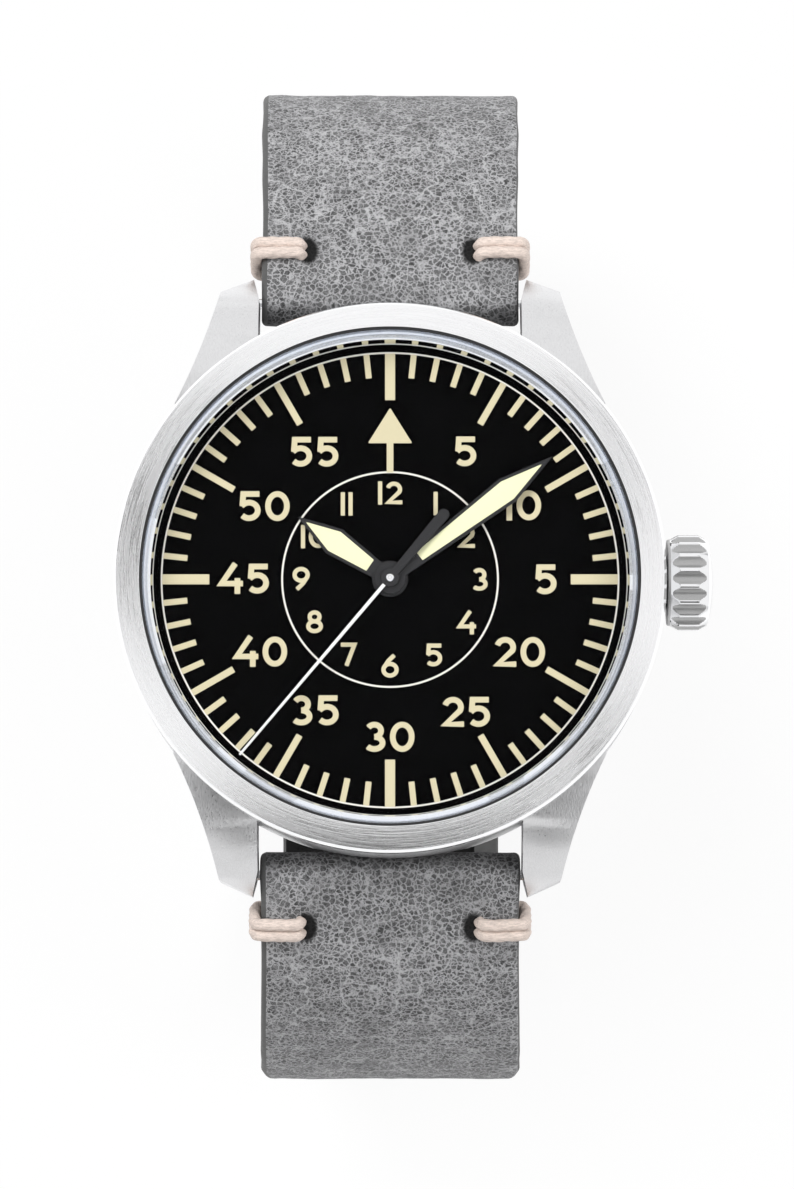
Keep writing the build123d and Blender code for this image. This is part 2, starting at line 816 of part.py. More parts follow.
def wheel_with_pinion(at, teeth, module, wheel_lift, leaves, pinion_module, pinion_lift, phases):
    """Crossed wheel and solid pinion on one arbor, each at its own height."""
    wheel_phase, pinion_phase = phases
    wheel = crossed_gear(teeth, module, train_bottom + wheel_lift, wheel_thickness, at, wheel_phase)
    pinion = gear(leaves, pinion_module, train_bottom + pinion_lift - pinion_extra,
                  wheel_thickness + 2 * pinion_extra, at, pinion_phase)
    return wheel + pinion + arbor(at)


def meshing_phase(teeth, bearing, other_teeth, other_phase):
    """Turn of a gear so that a gap faces the tooth of the gear that it meshes with."""
    other_pitch = 360 / other_teeth
    offset = (bearing - other_phase) % other_pitch / other_pitch
    pitch = 360 / teeth
    return bearing + 180 + pitch * (offset + 1 / 2)


def centre_wheel():
    """Wheel that turns once an hour, its hollow arbor carrying the cannon pinion."""
    pinion_low = train_bottom + barrel_lift + barrel_teeth_lift - pinion_extra
    wheel_low = train_bottom + centre_wheel_lift
    pinion_length = barrel_teeth_thickness + 2 * pinion_extra
    wheel = crossed_gear(centre_teeth, centre_module, wheel_low, wheel_thickness, (0, 0))
    pinion = gear(pinion_leaves, barrel_module, pinion_low, pinion_length, (0, 0))
    body = wheel + pinion + pin(centre_arbor_radius, pinion_low, minute_hand_bottom)
    return body - pin_hole(arbor_radius + running_fit, pinion_low, minute_hand_bottom)


def third_wheel():
    """Wheel between the centre wheel and the seconds pinion."""
    pinion_phase = meshing_phase(pinion_leaves, third_angle, centre_teeth, 0)
    return wheel_with_pinion(third_at, third_teeth, third_module, third_wheel_lift, pinion_leaves,
                             centre_module, centre_wheel_lift, (0, pinion_phase))


def seconds_wheel():
    """Wheel at the centre that turns once a minute, its arbor reaching up to the seconds hand."""
    pinion_phase = meshing_phase(pinion_leaves, third_angle + 180, third_teeth, 0)
    wheel_low = train_bottom + seconds_wheel_lift
    wheel = crossed_gear(seconds_teeth, escape_module, wheel_low, wheel_thickness, (0, 0))
    pinion = gear(pinion_leaves, third_module, train_bottom + third_wheel_lift - pinion_extra,
                  wheel_thickness + 2 * pinion_extra, (0, 0), pinion_phase)
    return wheel + pinion + arbor((0, 0), bridge_bottom, seconds_hand_bottom)


def escape_wheel():
    """Escape wheel with raked teeth and its pinion."""
    points = []
    pitch = 360 / escape_teeth
    for index in range(escape_teeth):
        angle = pitch * index
        points += [polar(escape_root_radius, angle - pitch * escape_heel_share), polar(escape_radius, angle)]
        points += [polar(escape_root_radius, angle + pitch * escape_lock_share)]
    low = train_bottom + escape_lift
    high = low + wheel_thickness
    rim = plate_of(points, low, high)
    rim -= wheel_windows(escape_rim_radius, escape_hub_radius, spoke_count, low, high)
    wheel = Pos(escape_at[0], escape_at[1], 0) * rim
    phase = meshing_phase(escape_leaves, escape_angle, seconds_teeth, 0)
    pinion = gear(escape_leaves, escape_module, train_bottom + seconds_wheel_lift - pinion_extra,
                  wheel_thickness + 2 * pinion_extra, escape_at, phase)
    return wheel + pinion + arbor(escape_at)


def barrel():
    """Toothed drum, closed by its cover, round the mainspring."""
    low = train_bottom + barrel_lift
    phase = meshing_phase(barrel_teeth, barrel_angle, pinion_leaves, 0)
    teeth_low = low + barrel_teeth_lift
    teeth = gear(barrel_teeth, barrel_module, teeth_low, barrel_teeth_thickness, barrel_at, phase)
    body = cylinder(barrel_radius, low, low + barrel_height, barrel_at) + teeth
    body -= pin(barrel_radius - barrel_wall, low + barrel_wall, low + barrel_height - barrel_wall, barrel_at)
    return body - pin_hole(barrel_arbor_radius + running_fit, low, low + barrel_height, barrel_at)


def mainspring():
    """Wound mainspring inside the barrel, as the plain ring that its turns fill."""
    low = train_bottom + barrel_lift + barrel_wall + fit
    high = train_bottom + barrel_lift + barrel_height - barrel_wall - fit
    body = pin(barrel_radius - barrel_wall - mainspring_gap, low, high, barrel_at)
    return body - pin_hole(barrel_arbor_radius + mainspring_gap, low, high, barrel_at)


def ratchet_wheel():
    """Wheel on the barrel's arbor, on the bridge's outer side."""
    wheel = gear(ratchet_teeth, ratchet_module, winding_bottom, winding_wheel_thickness - fit, barrel_at)
    stem = pin(barrel_arbor_radius, winding_bottom, plate_bottom + plate_thickness, barrel_at)
    return wheel + stem


def crown_wheel():
    """Winding wheel beside the ratchet wheel, on a post let into the bridge."""
    phase = meshing_phase(crown_wheel_teeth, crown_wheel_bearing, ratchet_teeth, 0)
    wheel = gear(crown_wheel_teeth, ratchet_module, winding_bottom, winding_wheel_thickness - fit,
                 crown_wheel_at, phase)
    return wheel + cylinder(screw_radius, winding_bottom, train_bottom, crown_wheel_at)


# Escapement
def pallet_fork():
    """Lever with two stones near the escape wheel and a notch toward the balance."""
    low = train_bottom + escape_lift
    high = low + wheel_thickness
    lever = bar_of_plate(fork_width / 2, 0, fork_length, low, high, (0, 0), 0)
    notch = bar_of_plate(fork_notch_width / 2, fork_length - fork_notch_width, fork_length + overrun,
                         low - overrun, high + overrun, (0, 0), 0)
    head = pin(fork_notch_width, low, high, (fork_length - fork_notch_width / 2, 0))
    body = lever + pin(fork_width, low, high) + head
    for side in (1, -1):
        way = 180 - side * fork_arm_turn
        arm = bar_of_plate(fork_width / 2, 0, fork_arm_span, low, high, (0, 0), way)
        stone_at = polar(fork_arm_span, way)
        stone = bar_of_plate(stone_width / 2, -stone_width / 2, stone_length, low, high, stone_at,
                             180 + side * stone_turn)
        body += arm + stone
    post = cylinder(arbor_radius, pallet_low, plate_bottom + plate_thickness)
    return Pos(fork_at[0], fork_at[1], 0) * Rot(0, 0, lever_angle) * (body - notch + post)


def pallet_bridge():
    """Small bridge under the fork, on two feet that stand on the main plate."""
    top = pallet_low + pallet_bridge_thickness
    arm = block(-pallet_bridge_width / 2, pallet_bridge_width / 2, -pallet_bridge_half_length,
                pallet_bridge_half_length, pallet_low, top)
    foot_y = pallet_bridge_half_length - pallet_bridge_width / 2
    feet = pin(pallet_bridge_width / 2, pallet_low, plate_bottom, (0, foot_y))
    feet += pin(pallet_bridge_width / 2, pallet_low, plate_bottom, (0, -foot_y))
    body = arm + feet - pin_hole(arbor_radius + running_fit, pallet_low, top)
    return Pos(fork_at[0], fork_at[1], 0) * Rot(0, 0, lever_angle) * body


def balance_wheel():
    """Two-armed balance with a smooth rim, its staff and the roller."""
    low = train_bottom + balance_lift
    high = low + balance_height
    web_top = low + balance_height / 2
    body = ring(balance_radius, balance_radius - balance_rim_width, low, high)
    reach = balance_radius - balance_rim_width / 2
    body += block(-reach, reach, -balance_arm_width / 2, balance_arm_width / 2, low, web_top)
    body += pin(balance_hub_radius, low, web_top) + pin(roller_radius, low, high + roller_extra)
    staff = pin(arbor_radius, bridge_bottom, plate_bottom + plate_thickness)
    return Pos(balance_at[0], balance_at[1], 0) * Rot(0, 0, balance_rest_angle) * (body + staff)


def hairspring_gap():
    """Least gap of the hairspring to itself, measured on points of its middle line."""
    inner_radius = hairspring_inner_radius - hairspring_pitch / 4
    points = []
    for index in range(hairspring_half_turns):
        centre_x, radius, start = half_circle(inner_radius, hairspring_pitch, index)
        for step in range(points_per_half_turn):
            x, y = polar(radius, start + half_turn * step / points_per_half_turn)
            points.append((centre_x + x, y))
    gaps = []
    for index, one in enumerate(points):
        others = points[index + points_per_half_turn:]
        gaps += [hypot(one[0] - other[0], one[1] - other[1]) for other in others]
    return min(gaps) - hairspring_strip


def hairspring():
    """Flat spring between balance and cock, from the collet out to the stud."""
    bottom = train_bottom + hairspring_lift
    coil = spiral(hairspring_inner_radius - hairspring_pitch / 4, hairspring_pitch, hairspring_strip,
                  hairspring_half_turns, bottom, hairspring_height, balance_at)
    return coil


# Motion works and hands
def cannon_pinion():
    """Pinion on the centre arbor whose pipe carries the minute hand."""
    low = motion_bottom + cannon_lift
    phase = meshing_phase(cannon_teeth, minute_wheel_angle + 180, minute_teeth, 0)
    body = gear(cannon_teeth, cannon_module, low, wheel_thickness + 2 * pinion_extra, (0, 0), phase)
    body += pin(cannon_pipe_radius, low, minute_hand_top)
    return body - pin_hole(cannon_bore, low, minute_hand_top)


def minute_wheel():
    """Wheel beside the cannon pinion, with the pinion that drives the hour wheel."""
    low = motion_bottom + cannon_lift + pinion_extra
    pinion_phase = meshing_phase(minute_leaves, minute_wheel_angle, hour_teeth, 0)
    body = gear(minute_teeth, cannon_module, low, wheel_thickness, minute_wheel_at)
    top = motion_bottom + hour_wheel_lift + wheel_thickness + pinion_extra
    body += gear(minute_leaves, hour_module, low + wheel_thickness, top - low - wheel_thickness,
                 minute_wheel_at, pinion_phase)
    return body - cylinder(arbor_radius + running_fit, low - overrun, top + overrun, minute_wheel_at)


def hour_wheel():
    """Wheel round the cannon pinion whose pipe carries the hour hand."""
    low = motion_bottom + hour_wheel_lift
    body = gear(hour_teeth, hour_module, low, wheel_thickness, (0, 0))
    body += pin(hour_pipe_radius, low, hour_hand_bottom)
    return body - pin_hole(hour_pipe_bore, low, hour_hand_bottom)


def lance(length, width, widest, neck, inset, start, bottom, top):
    """Lance-shaped plate along +Y, drawn in by an inset, from a distance off the axis to its point."""
    slope = (width - neck) / 2 / widest
    taper = width / 2 / (length - widest)
    half_start = neck / 2 + slope * start - inset
    half_widest = width / 2 - inset
    points = [(-half_start, start), (-half_widest, widest), (0, length - inset / taper),
              (half_widest, widest), (half_start, start)]
    return plate_of(points, bottom, top)


def lance_hand(length, width, widest, neck, hub, bore, lume_start, bottom):
    """Hand with a hub, a lance-shaped frame and a slot for its luminous insert."""
    top = bottom + hand_thickness
    frame = lance(length, width, widest, neck, 0, 0, bottom, top)
    slot = lance(length, width, widest, neck, hand_frame_width, lume_start, bottom - overrun, top + overrun)
    hub_disc = cylinder(hub, bottom, top)
    return frame - slot + hub_disc - pin_hole(bore, bottom, top)


def turned_hand(shape, angle):
    """Turn a hand clockwise from 12 o'clock."""
    return Rot(0, 0, -angle) * shape


def hour_hand():
    """Short lance hand."""
    shape = lance_hand(hour_hand_length, hour_hand_width, hour_hand_widest, hour_hand_neck, hour_hand_hub,
                       hour_pipe_bore, hour_lume_start, hour_hand_bottom)
    return turned_hand(shape, hour_hand_angle)


def minute_hand():
    """Long lance hand."""
    shape = lance_hand(minute_hand_length, minute_hand_width, minute_hand_widest, minute_hand_neck,
                       minute_hand_hub, cannon_pipe_radius + fit, minute_lume_start, minute_hand_bottom)
    return turned_hand(shape, minute_hand_angle)


def hour_hand_lume():
    """Luminous insert of the hour hand."""
    shape = lance(hour_hand_length, hour_hand_width, hour_hand_widest, hour_hand_neck, hand_frame_width + fit,
                  hour_lume_start + fit, hour_hand_bottom, hour_hand_top)
    return turned_hand(shape, hour_hand_angle)


def minute_hand_lume():
    """Luminous insert of the minute hand."""
    shape = lance(minute_hand_length, minute_hand_width, minute_hand_widest, minute_hand_neck,
                  hand_frame_width + fit, minute_lume_start + fit, minute_hand_bottom, minute_hand_top)
    return turned_hand(shape, minute_hand_angle)


def seconds_hand():
    """Thin hand with a rounded tail and a cap over its hub."""
    low = seconds_hand_bottom
    top = seconds_hand_top
    root = seconds_hand_width / 2
    tip = seconds_hand_tip_width / 2
    end = seconds_hand_length
    needle = plate_of([(-root, 0), (-tip, end), (tip, end), (root, 0)], low, top)
    round_y = seconds_tail_length - seconds_tail_width / 2
    tail = plate_of([(-seconds_hand_width, 0), (seconds_hand_width, 0), (seconds_tail_width / 2, -round_y),
                     (-seconds_tail_width / 2, -round_y)], low, top)
    tail += pin(seconds_tail_width / 2, low, top, (0, -round_y))
    hub = cylinder(seconds_hand_hub, low, top) + pin(seconds_cap_radius, low, top + seconds_cap_height)
    return turned_hand(needle + tail + hub, seconds_hand_angle)


# Automatic winding
def automatic_bridge():
    """Bridge across the movement's middle with the bearing that the rotor turns on."""
    low = winding_bottom
    high = bridge_bottom
    arm = bar_of_plate(automatic_arm_width / 2, 0, automatic_arm_length, low, high, (0, 0), third_angle)
    end = cylinder(automatic_arm_width / 2, low, high, polar(automatic_arm_length, third_angle))
    body = cylinder(automatic_hub_radius, low, high) + arm + end
    body += pin(rotor_bore - running_fit, rotor_bottom - bearing_head_thickness, high)
    head_top = rotor_bottom - running_fit
    return body + pin(bearing_head_radius, head_top - bearing_head_thickness, head_top)


def rotor():
    """Half-round winding weight with a heavy rim, an open web and a hub."""
    low = rotor_bottom
    rim = ring(rotor_radius, rotor_rim_radius, low, low + rotor_rim_thickness)
    half = block(-rotor_radius - overrun, rotor_radius + overrun, -rotor_radius - overrun, 0, low - overrun,
                 low + overrun)
    plate = cylinder(rotor_radius, low, low + rotor_plate_thickness)
    arms = sector(rotor_radius, 270 - rotor_arm_angle, 270 + rotor_arm_angle, low - overrun, low + overrun)
    web = (plate & half & arms) + (rim & half)
    hub = cylinder(rotor_hub_radius, low, low + rotor_plate_thickness)
    body = web + hub - pin_hole(rotor_bore, low, low + rotor_plate_thickness)
    return Rot(0, 0, rotor_start_angle) * body


# Winding axis
def crown_tube():
    """Tube pressed into the case wall, which the crown slides over."""
    body = pin(tube_radius - fit, tube_inner_x, tube_outer_x)
    return along_stem(body - pin_hole(tube_bore, tube_inner_x, tube_outer_x))


def flute_outline():
    """Section of the crown: hollow flutes of two flats that meet in sharp ridges."""
    pitch = 360 / crown_flutes
    valley = crown_radius * cos(radians(pitch / 2)) - crown_flute_depth
    points = []
    for index in range(crown_flutes):
        points += [polar(valley, pitch * index), polar(crown_radius, pitch * (index + 1 / 2))]
    return make_face(Polyline(*points, close=True))


def crown():
    """Fluted crown with a plain base, bevelled flutes and a domed end."""
    low = crown_base_end_x + crown_bevel
    high = crown_flute_end_x - crown_bevel
    section = flute_outline()
    middle = Pos(0, 0, low) * extrude(section, amount=high - low)
    bevel = extrude(section, amount=crown_bevel, taper=crown_bevel_angle)
    flutes = middle + Pos(0, 0, high) * bevel + Pos(0, 0, low) * mirror(bevel, Plane.XY)
    dome = Pos(0, 0, crown_end_x - crown_dome_radius) * Sphere(crown_dome_radius)
    cap = cylinder(crown_cap_radius, crown_flute_end_x, crown_end_x) & dome
    body = flutes + cap + cylinder(crown_base_radius, crown_start_x, crown_base_end_x)
    body -= cylinder(crown_bore_radius, crown_start_x - overrun, crown_start_x + crown_bore_depth)
    body -= pin(stem_radius + fit, crown_start_x, crown_start_x + crown_bore_depth + stem_grip)
    return along_stem(body)


def crown_gasket():
    """Ring seal in the crown, round the tube."""
    end = crown_start_x + crown_gasket_width
    body = pin(crown_bore_radius - fit, crown_start_x, end)
    return along_stem(body - pin_hole(tube_radius + running_fit, crown_start_x, end))


def winding_stem():
    """Stem with a square end for the sliding pinion and a collar in the tube."""
    end = crown_start_x + crown_bore_depth + stem_grip
    body = pin(stem_radius, stem_inner_x, end)
    body += pin(tube_bore - running_fit, tube_inner_x + keyless_gap, tube_inner_x + stem_collar)
    return along_stem(body)


def toothed_pinion(start, length):
    """Pinion on the stem with straight teeth."""
    module = 2 * keyless_radius / (keyless_teeth + 2 * addendum_share)
    body = gear(keyless_teeth, module, start, length, (0, 0))
    return body - pin_hole(stem_radius + running_fit, start, start + length)


def sliding_pinion():
    """Inner pinion, which the stem turns."""
    return along_stem(toothed_pinion(sliding_pinion_x, sliding_pinion_length))


def winding_pinion():
    """Outer pinion, beside the sliding pinion."""
    start = sliding_pinion_x + sliding_pinion_length + keyless_gap
    return along_stem(toothed_pinion(start, winding_pinion_length))


# Spring bars and strap
def spring_bar(side):
    """Bar between two lugs with thinner sprung tips."""
    y = side * bar_y
    z = case_lift + bar_z
    tips = cross_pin(bar_tip_radius, bar_length + 2 * bar_tip_length - fit, y, z)
    return cross_pin(bar_radius, bar_length, y, z) + tips


def fall_start(offset):
    """Point where the strap leaves the roll, an offset above or below the bar's axis."""
    angle = radians(strap_fall_angle)
    return (bar_y + offset * sin(angle), case_lift + bar_z + offset * cos(angle))


def joined_arcs(start, start_way, end, end_way):
    """Two arcs, tangent where they meet, from one point and direction to another."""
    step = (end[0] - start[0], end[1] - start[1])
    along = step[0] * (start_way[0] + end_way[0]) + step[1] * (start_way[1] + end_way[1])
    spread = 2 * (1 - start_way[0] * end_way[0] - start_way[1] * end_way[1])
    reach = (sqrt(along**2 + spread * (step[0]**2 + step[1]**2)) - along) / spread
    joint = ((start[0] + end[0] + reach * (start_way[0] - end_way[0])) / 2,
             (start[1] + end[1] + reach * (start_way[1] - end_way[1])) / 2)
    first = TangentArc(start, joint, tangent=start_way)
    return first, TangentArc(joint, end, tangent=first % 1)


def strap_side(offset, depth, flat_z, side_reach):
    """Edge of a strap half from the lugs round to the flat under the wrist, at a depth from outside."""
    angle = radians(strap_fall_angle)
    corner_start = (side_reach - depth, flat_z + strap_corner_radius)
    shoulder, wall = joined_arcs(fall_start(offset), (cos(angle), -sin(angle)), corner_start, (0, -1))
    corner = JernArc(corner_start, (0, -1), strap_corner_radius - depth, -90)
    return [shoulder, wall, corner]


def strap_blank(half_widths):
    """Front view of a strap half, tapered below the case and straight under the wrist."""
    top_half, side_half, end_half = half_widths
    top_z = case_lift + bar_z + 2 * strap_roll_radius
    points = [(end_half, -overrun), (end_half, strap_narrow_z), (side_half, strap_side_z)]
    points += [(top_half, case_lift), (top_half, top_z)]
    outline = points + [(-x, z) for x, z in reversed(points)]
    face = Plane.XZ * make_face(Polyline(*outline, close=True))
    return extrude(face, amount=2 * strap_far_reach, both=True)


def strap_section(edges):
    """Strap layer with its outline in the YZ plane, trimmed to the strap's width."""
    face = make_face(Wire(edges))
    body = extrude(Plane.YZ * face, amount=strap_width / 2, both=True)
    return body & strap_blank((strap_width / 2, strap_side_width / 2, strap_end_width / 2))


def upper_layer(outer_depth, inner_depth, offsets, start_y):
    """Layer of the 12 o'clock half between two depths, ended at the buckle."""
    outer = strap_side(offsets[0], outer_depth, upper_outer_z, strap_far_reach)
    inner = strap_side(offsets[1], inner_depth, upper_outer_z, strap_far_reach)
    outer_z = upper_outer_z + outer_depth
    inner_z = upper_outer_z + inner_depth
    edges = outer + inner
    edges += [Line(outer[0] @ 0, inner[0] @ 0), Line(outer[-1] @ 1, (start_y, outer_z)),
              Line(inner[-1] @ 1, (start_y, inner_z)), Line((start_y, outer_z), (start_y, inner_z))]
    return strap_section(edges)


def dip(start, depth, drop):
    """Two arcs that lead the long half down from over the front bar to under the buckle's bar."""
    half_angle = atan(drop / tail_dip_length)
    angle = degrees(2 * half_angle)
    radius = tail_dip_length / 2 / sin(2 * half_angle)
    first = JernArc(start, (1, 0), radius + depth, -angle)
    second = JernArc(first @ 1, first % 1, radius - depth, angle)
    return [first, second]


def long_edge(offset, depth):
    """Edge of the 6 o'clock half from its lugs, through the buckle and out under the other half."""
    side = strap_side(offset, depth, under_bar_z, strap_near_reach)
    mirrored = [edge.mirror(Plane.YZ) for edge in side]
    dip_start = (tail_dip_start_y, under_bar_z + depth)
    approach = Line((strap_corner_radius - strap_near_reach, under_bar_z + depth), dip_start)
    drop = under_bar_z - tail_outer_z
    curve = dip(dip_start, depth, drop)
    run = Line(curve[-1] @ 1, (strap_far_reach - strap_corner_radius, tail_outer_z + depth))
    tail_radius = strap_corner_radius + strap_gap + strap_thickness - depth
    rise = JernArc(run @ 1, (1, 0), tail_radius, tail_end_angle)
    return mirrored + [approach] + curve + [run, rise]


def long_layer(outer_depth, inner_depth, offsets):
    """Layer of the 6 o'clock half between two depths."""
    outer = long_edge(offsets[0], outer_depth)
    inner = long_edge(offsets[1], inner_depth)
    start_outer = (-fall_start(offsets[0])[0], fall_start(offsets[0])[1])
    start_inner = (-fall_start(offsets[1])[0], fall_start(offsets[1])[1])
    edges = outer + inner + [Line(start_outer, start_inner), Line(outer[-1] @ 1, inner[-1] @ 1)]
    return strap_section(edges)


def strap_roll():
    """Rolled end round the spring bar."""
    roll = Pos(0, bar_y, case_lift + bar_z) * Rot(0, 90, 0) * Cylinder(strap_roll_radius, strap_width)
    return roll


def bar_bore(side):
    """Bore of the rolled end for the spring bar."""
    return cross_hole(bar_radius + running_fit, strap_width + 2 * overrun, side * bar_y, case_lift + bar_z)


def buckle_roll():
    """Rolled end of the short half round the buckle's bar, slotted for the tongue."""
    roll = Pos(0, buckle_y, buckle_z) * Rot(0, 90, 0) * Cylinder(buckle_roll_radius, strap_end_width)
    return roll


def buckle_bore():
    """Bore of the rolled end for the buckle's bar."""
    return cross_hole(buckle_bar_radius + running_fit, strap_end_width + 2 * overrun, buckle_y, buckle_z)


def tongue_slot():
    """Slot of the rolled end in which the tongue swings."""
    reach = buckle_roll_radius + overrun
    return block(-strap_slot_width / 2, strap_slot_width / 2, buckle_y - reach, buckle_y + reach,
                 upper_outer_z - strap_gap, buckle_z + reach)


def stitch_plane(side):
    """Plane on the strap's outer surface at the stitch: X across the strap, Y away from the case."""
    flat_z, side_reach = (upper_outer_z, strap_far_reach) if side > 0 else (under_bar_z, strap_near_reach)
    shoulder = strap_side(strap_roll_radius, 0, flat_z, side_reach)[0]
    share = stitch_run / shoulder.length
    at = shoulder @ share
    way = shoulder % share
    return Plane((0, side * at.X, at.Y), x_dir=(side, 0, 0), z_dir=(0, -side * way.Y, way.X))


def stitch_holes(side):
    """Holes through which the thick thread passes."""
    half = stitch_post / 2 + stitch_hole_clearance
    wide = stitch_width / 2 + stitch_hole_clearance
    low = -2 * stitch_depth
    right = block(stitch_hole_x - half, stitch_hole_x + half, -wide, wide, low, overrun)
    return stitch_plane(side) * (right + mirror(right, Plane.YZ))


def stitches(side):
    """Thread that goes through a hole and round the strap's edge, on both edges."""
    low = -stitch_depth - stitch_clearance
    inner_x = stitch_hole_x - stitch_post / 2
    outer_x = strap_width / 2 + stitch_clearance
    half = stitch_width / 2
    loop = block(inner_x, outer_x + stitch_thickness, -half, half, low - stitch_thickness,
                 stitch_clearance + stitch_thickness)
    hollow = block(inner_x + stitch_post, outer_x, -half - overrun, half + overrun, low, stitch_clearance)
    body = loop - hollow
    return [stitch_plane(side) * body, stitch_plane(side) * mirror(body, Plane.YZ)]


def strap_12_leather():
    """Outer leather of the short half, from the roll at the lugs to the roll at the buckle."""
    offsets = (strap_roll_radius, lining_offset + lining_gap)
    body = upper_layer(0, leather_depth, offsets, buckle_y) + strap_roll() + buckle_roll()
    return body - bar_bore(1) - buckle_bore() - tongue_slot() - stitch_holes(1)


def strap_12_lining():
    """Lining of the short half, from beside the lugs to the buckle's roll."""
    start_y = buckle_y + buckle_roll_radius + strap_gap
    offsets = (lining_offset, -strap_roll_radius)
    body = upper_layer(leather_depth + lining_gap, strap_thickness, offsets, start_y)
    return body - lining_relief(1) - stitch_holes(1)


def lining_relief(side):
    """Clears the lining from the rolled end."""
    return Pos(0, side * bar_y, case_lift + bar_z) * Rot(0, 90, 0) * \
        Cylinder(strap_roll_radius + lining_gap, strap_width + 2 * overrun)


def tail_corners():
    """What is cut off the long half's end to leave a rounded point."""
    radius = strap_corner_radius + strap_gap + strap_thickness
    angle = radians(tail_end_angle)
    end = (0, strap_far_reach - strap_corner_radius + radius * sin(angle),
           upper_outer_z + strap_corner_radius - radius * cos(angle))
    half = strap_end_width / 2
    arc = ThreePointArc((-half, -tail_point_length), (0, 0), (half, -tail_point_length))
    wide = half + overrun
    rest = Polyline((half, -tail_point_length), (wide, -tail_point_length), (wide, overrun), (-wide, overrun),
                    (-wide, -tail_point_length), (-half, -tail_point_length))
    face = make_face(Wire([arc] + rest.edges()))
    plane = Plane(end, x_dir=(1, 0, 0), z_dir=(0, -sin(angle), cos(angle)))
    return extrude(plane * face, amount=2 * strap_thickness, both=True)


def tongue_hole():
    """Hole of the long half that the tongue goes through, pulled long at the buckle."""
    return block(-strap_slot_width / 2, strap_slot_width / 2, tongue_foot_y - tongue_open_play,
                 tongue_shelf_y + tongue_open_play, -overrun, upper_outer_z + overrun)


def strap_holes():
    """Punched holes of the long half beyond the one in use."""
    holes = []
    for index in range(strap_hole_count):
        y = (tongue_foot_y + tongue_shelf_y) / 2 + strap_hole_pitch * (index + 1)
        if y < strap_far_reach - strap_corner_radius:
            holes.append(pin_hole(strap_hole_radius, 0, upper_outer_z - strap_gap / 2 - overrun, (0, y)))
    return holes


def finish_long(body):
    """Cuts that leather and lining of the long half share."""
    for hole in strap_holes():
        body -= hole
    return body - tongue_hole() - stitch_holes(-1) - tail_corners()


def strap_6_leather():
    """Outer leather of the long half."""
    offsets = (strap_roll_radius, lining_offset + lining_gap)
    body = long_layer(0, leather_depth, offsets) + mirror(strap_roll(), Plane.XZ)
    return finish_long(body - bar_bore(-1))


def strap_6_lining():
    """Lining of the long half."""
    body = long_layer(leather_depth + lining_gap, strap_thickness, (lining_offset, -strap_roll_radius))
    return finish_long(body - lining_relief(-1))


# Buckle and keepers
def buckle_frame():
    """U-shaped frame: a front bar with a notch for the tongue and two rails that rise to the bar."""
    inner = strap_end_width / 2 + frame_rail_gap
    outer = inner + frame_rail_width
    back_y = buckle_y + frame_ear_radius
    slant = frame_ear_radius * sin(pi / 4)
    arc = ThreePointArc((buckle_y - slant, buckle_z + slant), (buckle_y + slant, buckle_z + slant),
                        (back_y, buckle_z))
    rest = Polyline((back_y, buckle_z), (back_y, buckle_z - frame_ear_radius), (frame_foot_y, 0),
                    (frame_front_y, 0), (frame_front_y, frame_bar_height), arc @ 0)
    side = make_face(Wire([arc] + rest.edges()))
    rails = extrude(Plane.YZ * side, amount=outer, both=True)
    gap_start = frame_front_y + frame_front_depth
    rails -= block(-inner, inner, gap_start, back_y + overrun, -overrun, 2 * buckle_z)
    rails -= block(-inner, inner, frame_front_y - overrun, back_y, frame_bar_height, 2 * buckle_z)
    notch = tongue_width / 2 + tongue_notch_clearance
    rails -= block(-notch, notch, frame_front_y - overrun, gap_start + overrun, -overrun,
                   tongue_tip_z + tongue_height + running_fit)
    return rails - cross_hole(buckle_bar_radius + fit, 2 * inner + bar_grip, buckle_y, buckle_z)


def buckle_bar():
    """Bar of the buckle, held in the ears of the frame."""
    inner = strap_end_width / 2 + frame_rail_gap
    return cross_pin(buckle_bar_radius, 2 * inner + bar_grip - fit, buckle_y, buckle_z)


def buckle_tongue():
    """Tongue that turns on the bar, goes through the strap and ends in the frame's notch."""
    shelf_low = upper_outer_z + tongue_shelf_rise
    foot_top = tongue_tip_z + tongue_height
    shelf_top = shelf_low + tongue_height
    points = [(buckle_y, shelf_low), (tongue_shelf_y, shelf_low), (tongue_foot_y, tongue_tip_z),
              (tongue_tip_y, tongue_tip_z), (tongue_tip_y, foot_top), (tongue_foot_y + tongue_knee, foot_top),
              (tongue_shelf_y + tongue_knee, shelf_top), (buckle_y, shelf_top)]
    arm = extrude(Plane.YZ * make_face(Polyline(*points, close=True)), amount=tongue_width / 2, both=True)
    ring_body = Pos(0, buckle_y, buckle_z) * Rot(0, 90, 0) * Cylinder(tongue_ring_radius, tongue_width)
    return arm + ring_body - cross_hole(buckle_bar_radius + running_fit, 2 * tongue_width, buckle_y, buckle_z)


def keeper(start_y):
    """Leather loop round both layers of the strap."""
    inner_x = strap_end_width / 2 + keeper_clearance
    top = upper_outer_z + strap_thickness + keeper_clearance
    outer = Rectangle(2 * (inner_x + keeper_wall), top + keeper_wall, align=(Align.CENTER, Align.MIN))
    outer = fillet(outer.vertices(), keeper_corner)
    inner = Pos(0, keeper_wall) * Rectangle(2 * inner_x, top - keeper_wall, align=(Align.CENTER, Align.MIN))
    body = extrude(Plane.XZ * (outer - inner), amount=-keeper_width)
    return Pos(0, start_y, 0) * body


def raise_all(shapes):
    """Lift pieces of the case to their height above the rest."""
    return [Pos(0, 0, case_lift) * shape for shape in shapes]


def write(name, shapes):
    """Write one node from one solid or from several alike."""
    solids = [solid for shape in shapes for solid in shape.solids()]
    body = solids[0] if len(solids) == 1 else Compound(children=solids)
    export_step(body, f"parts/{name}.step")


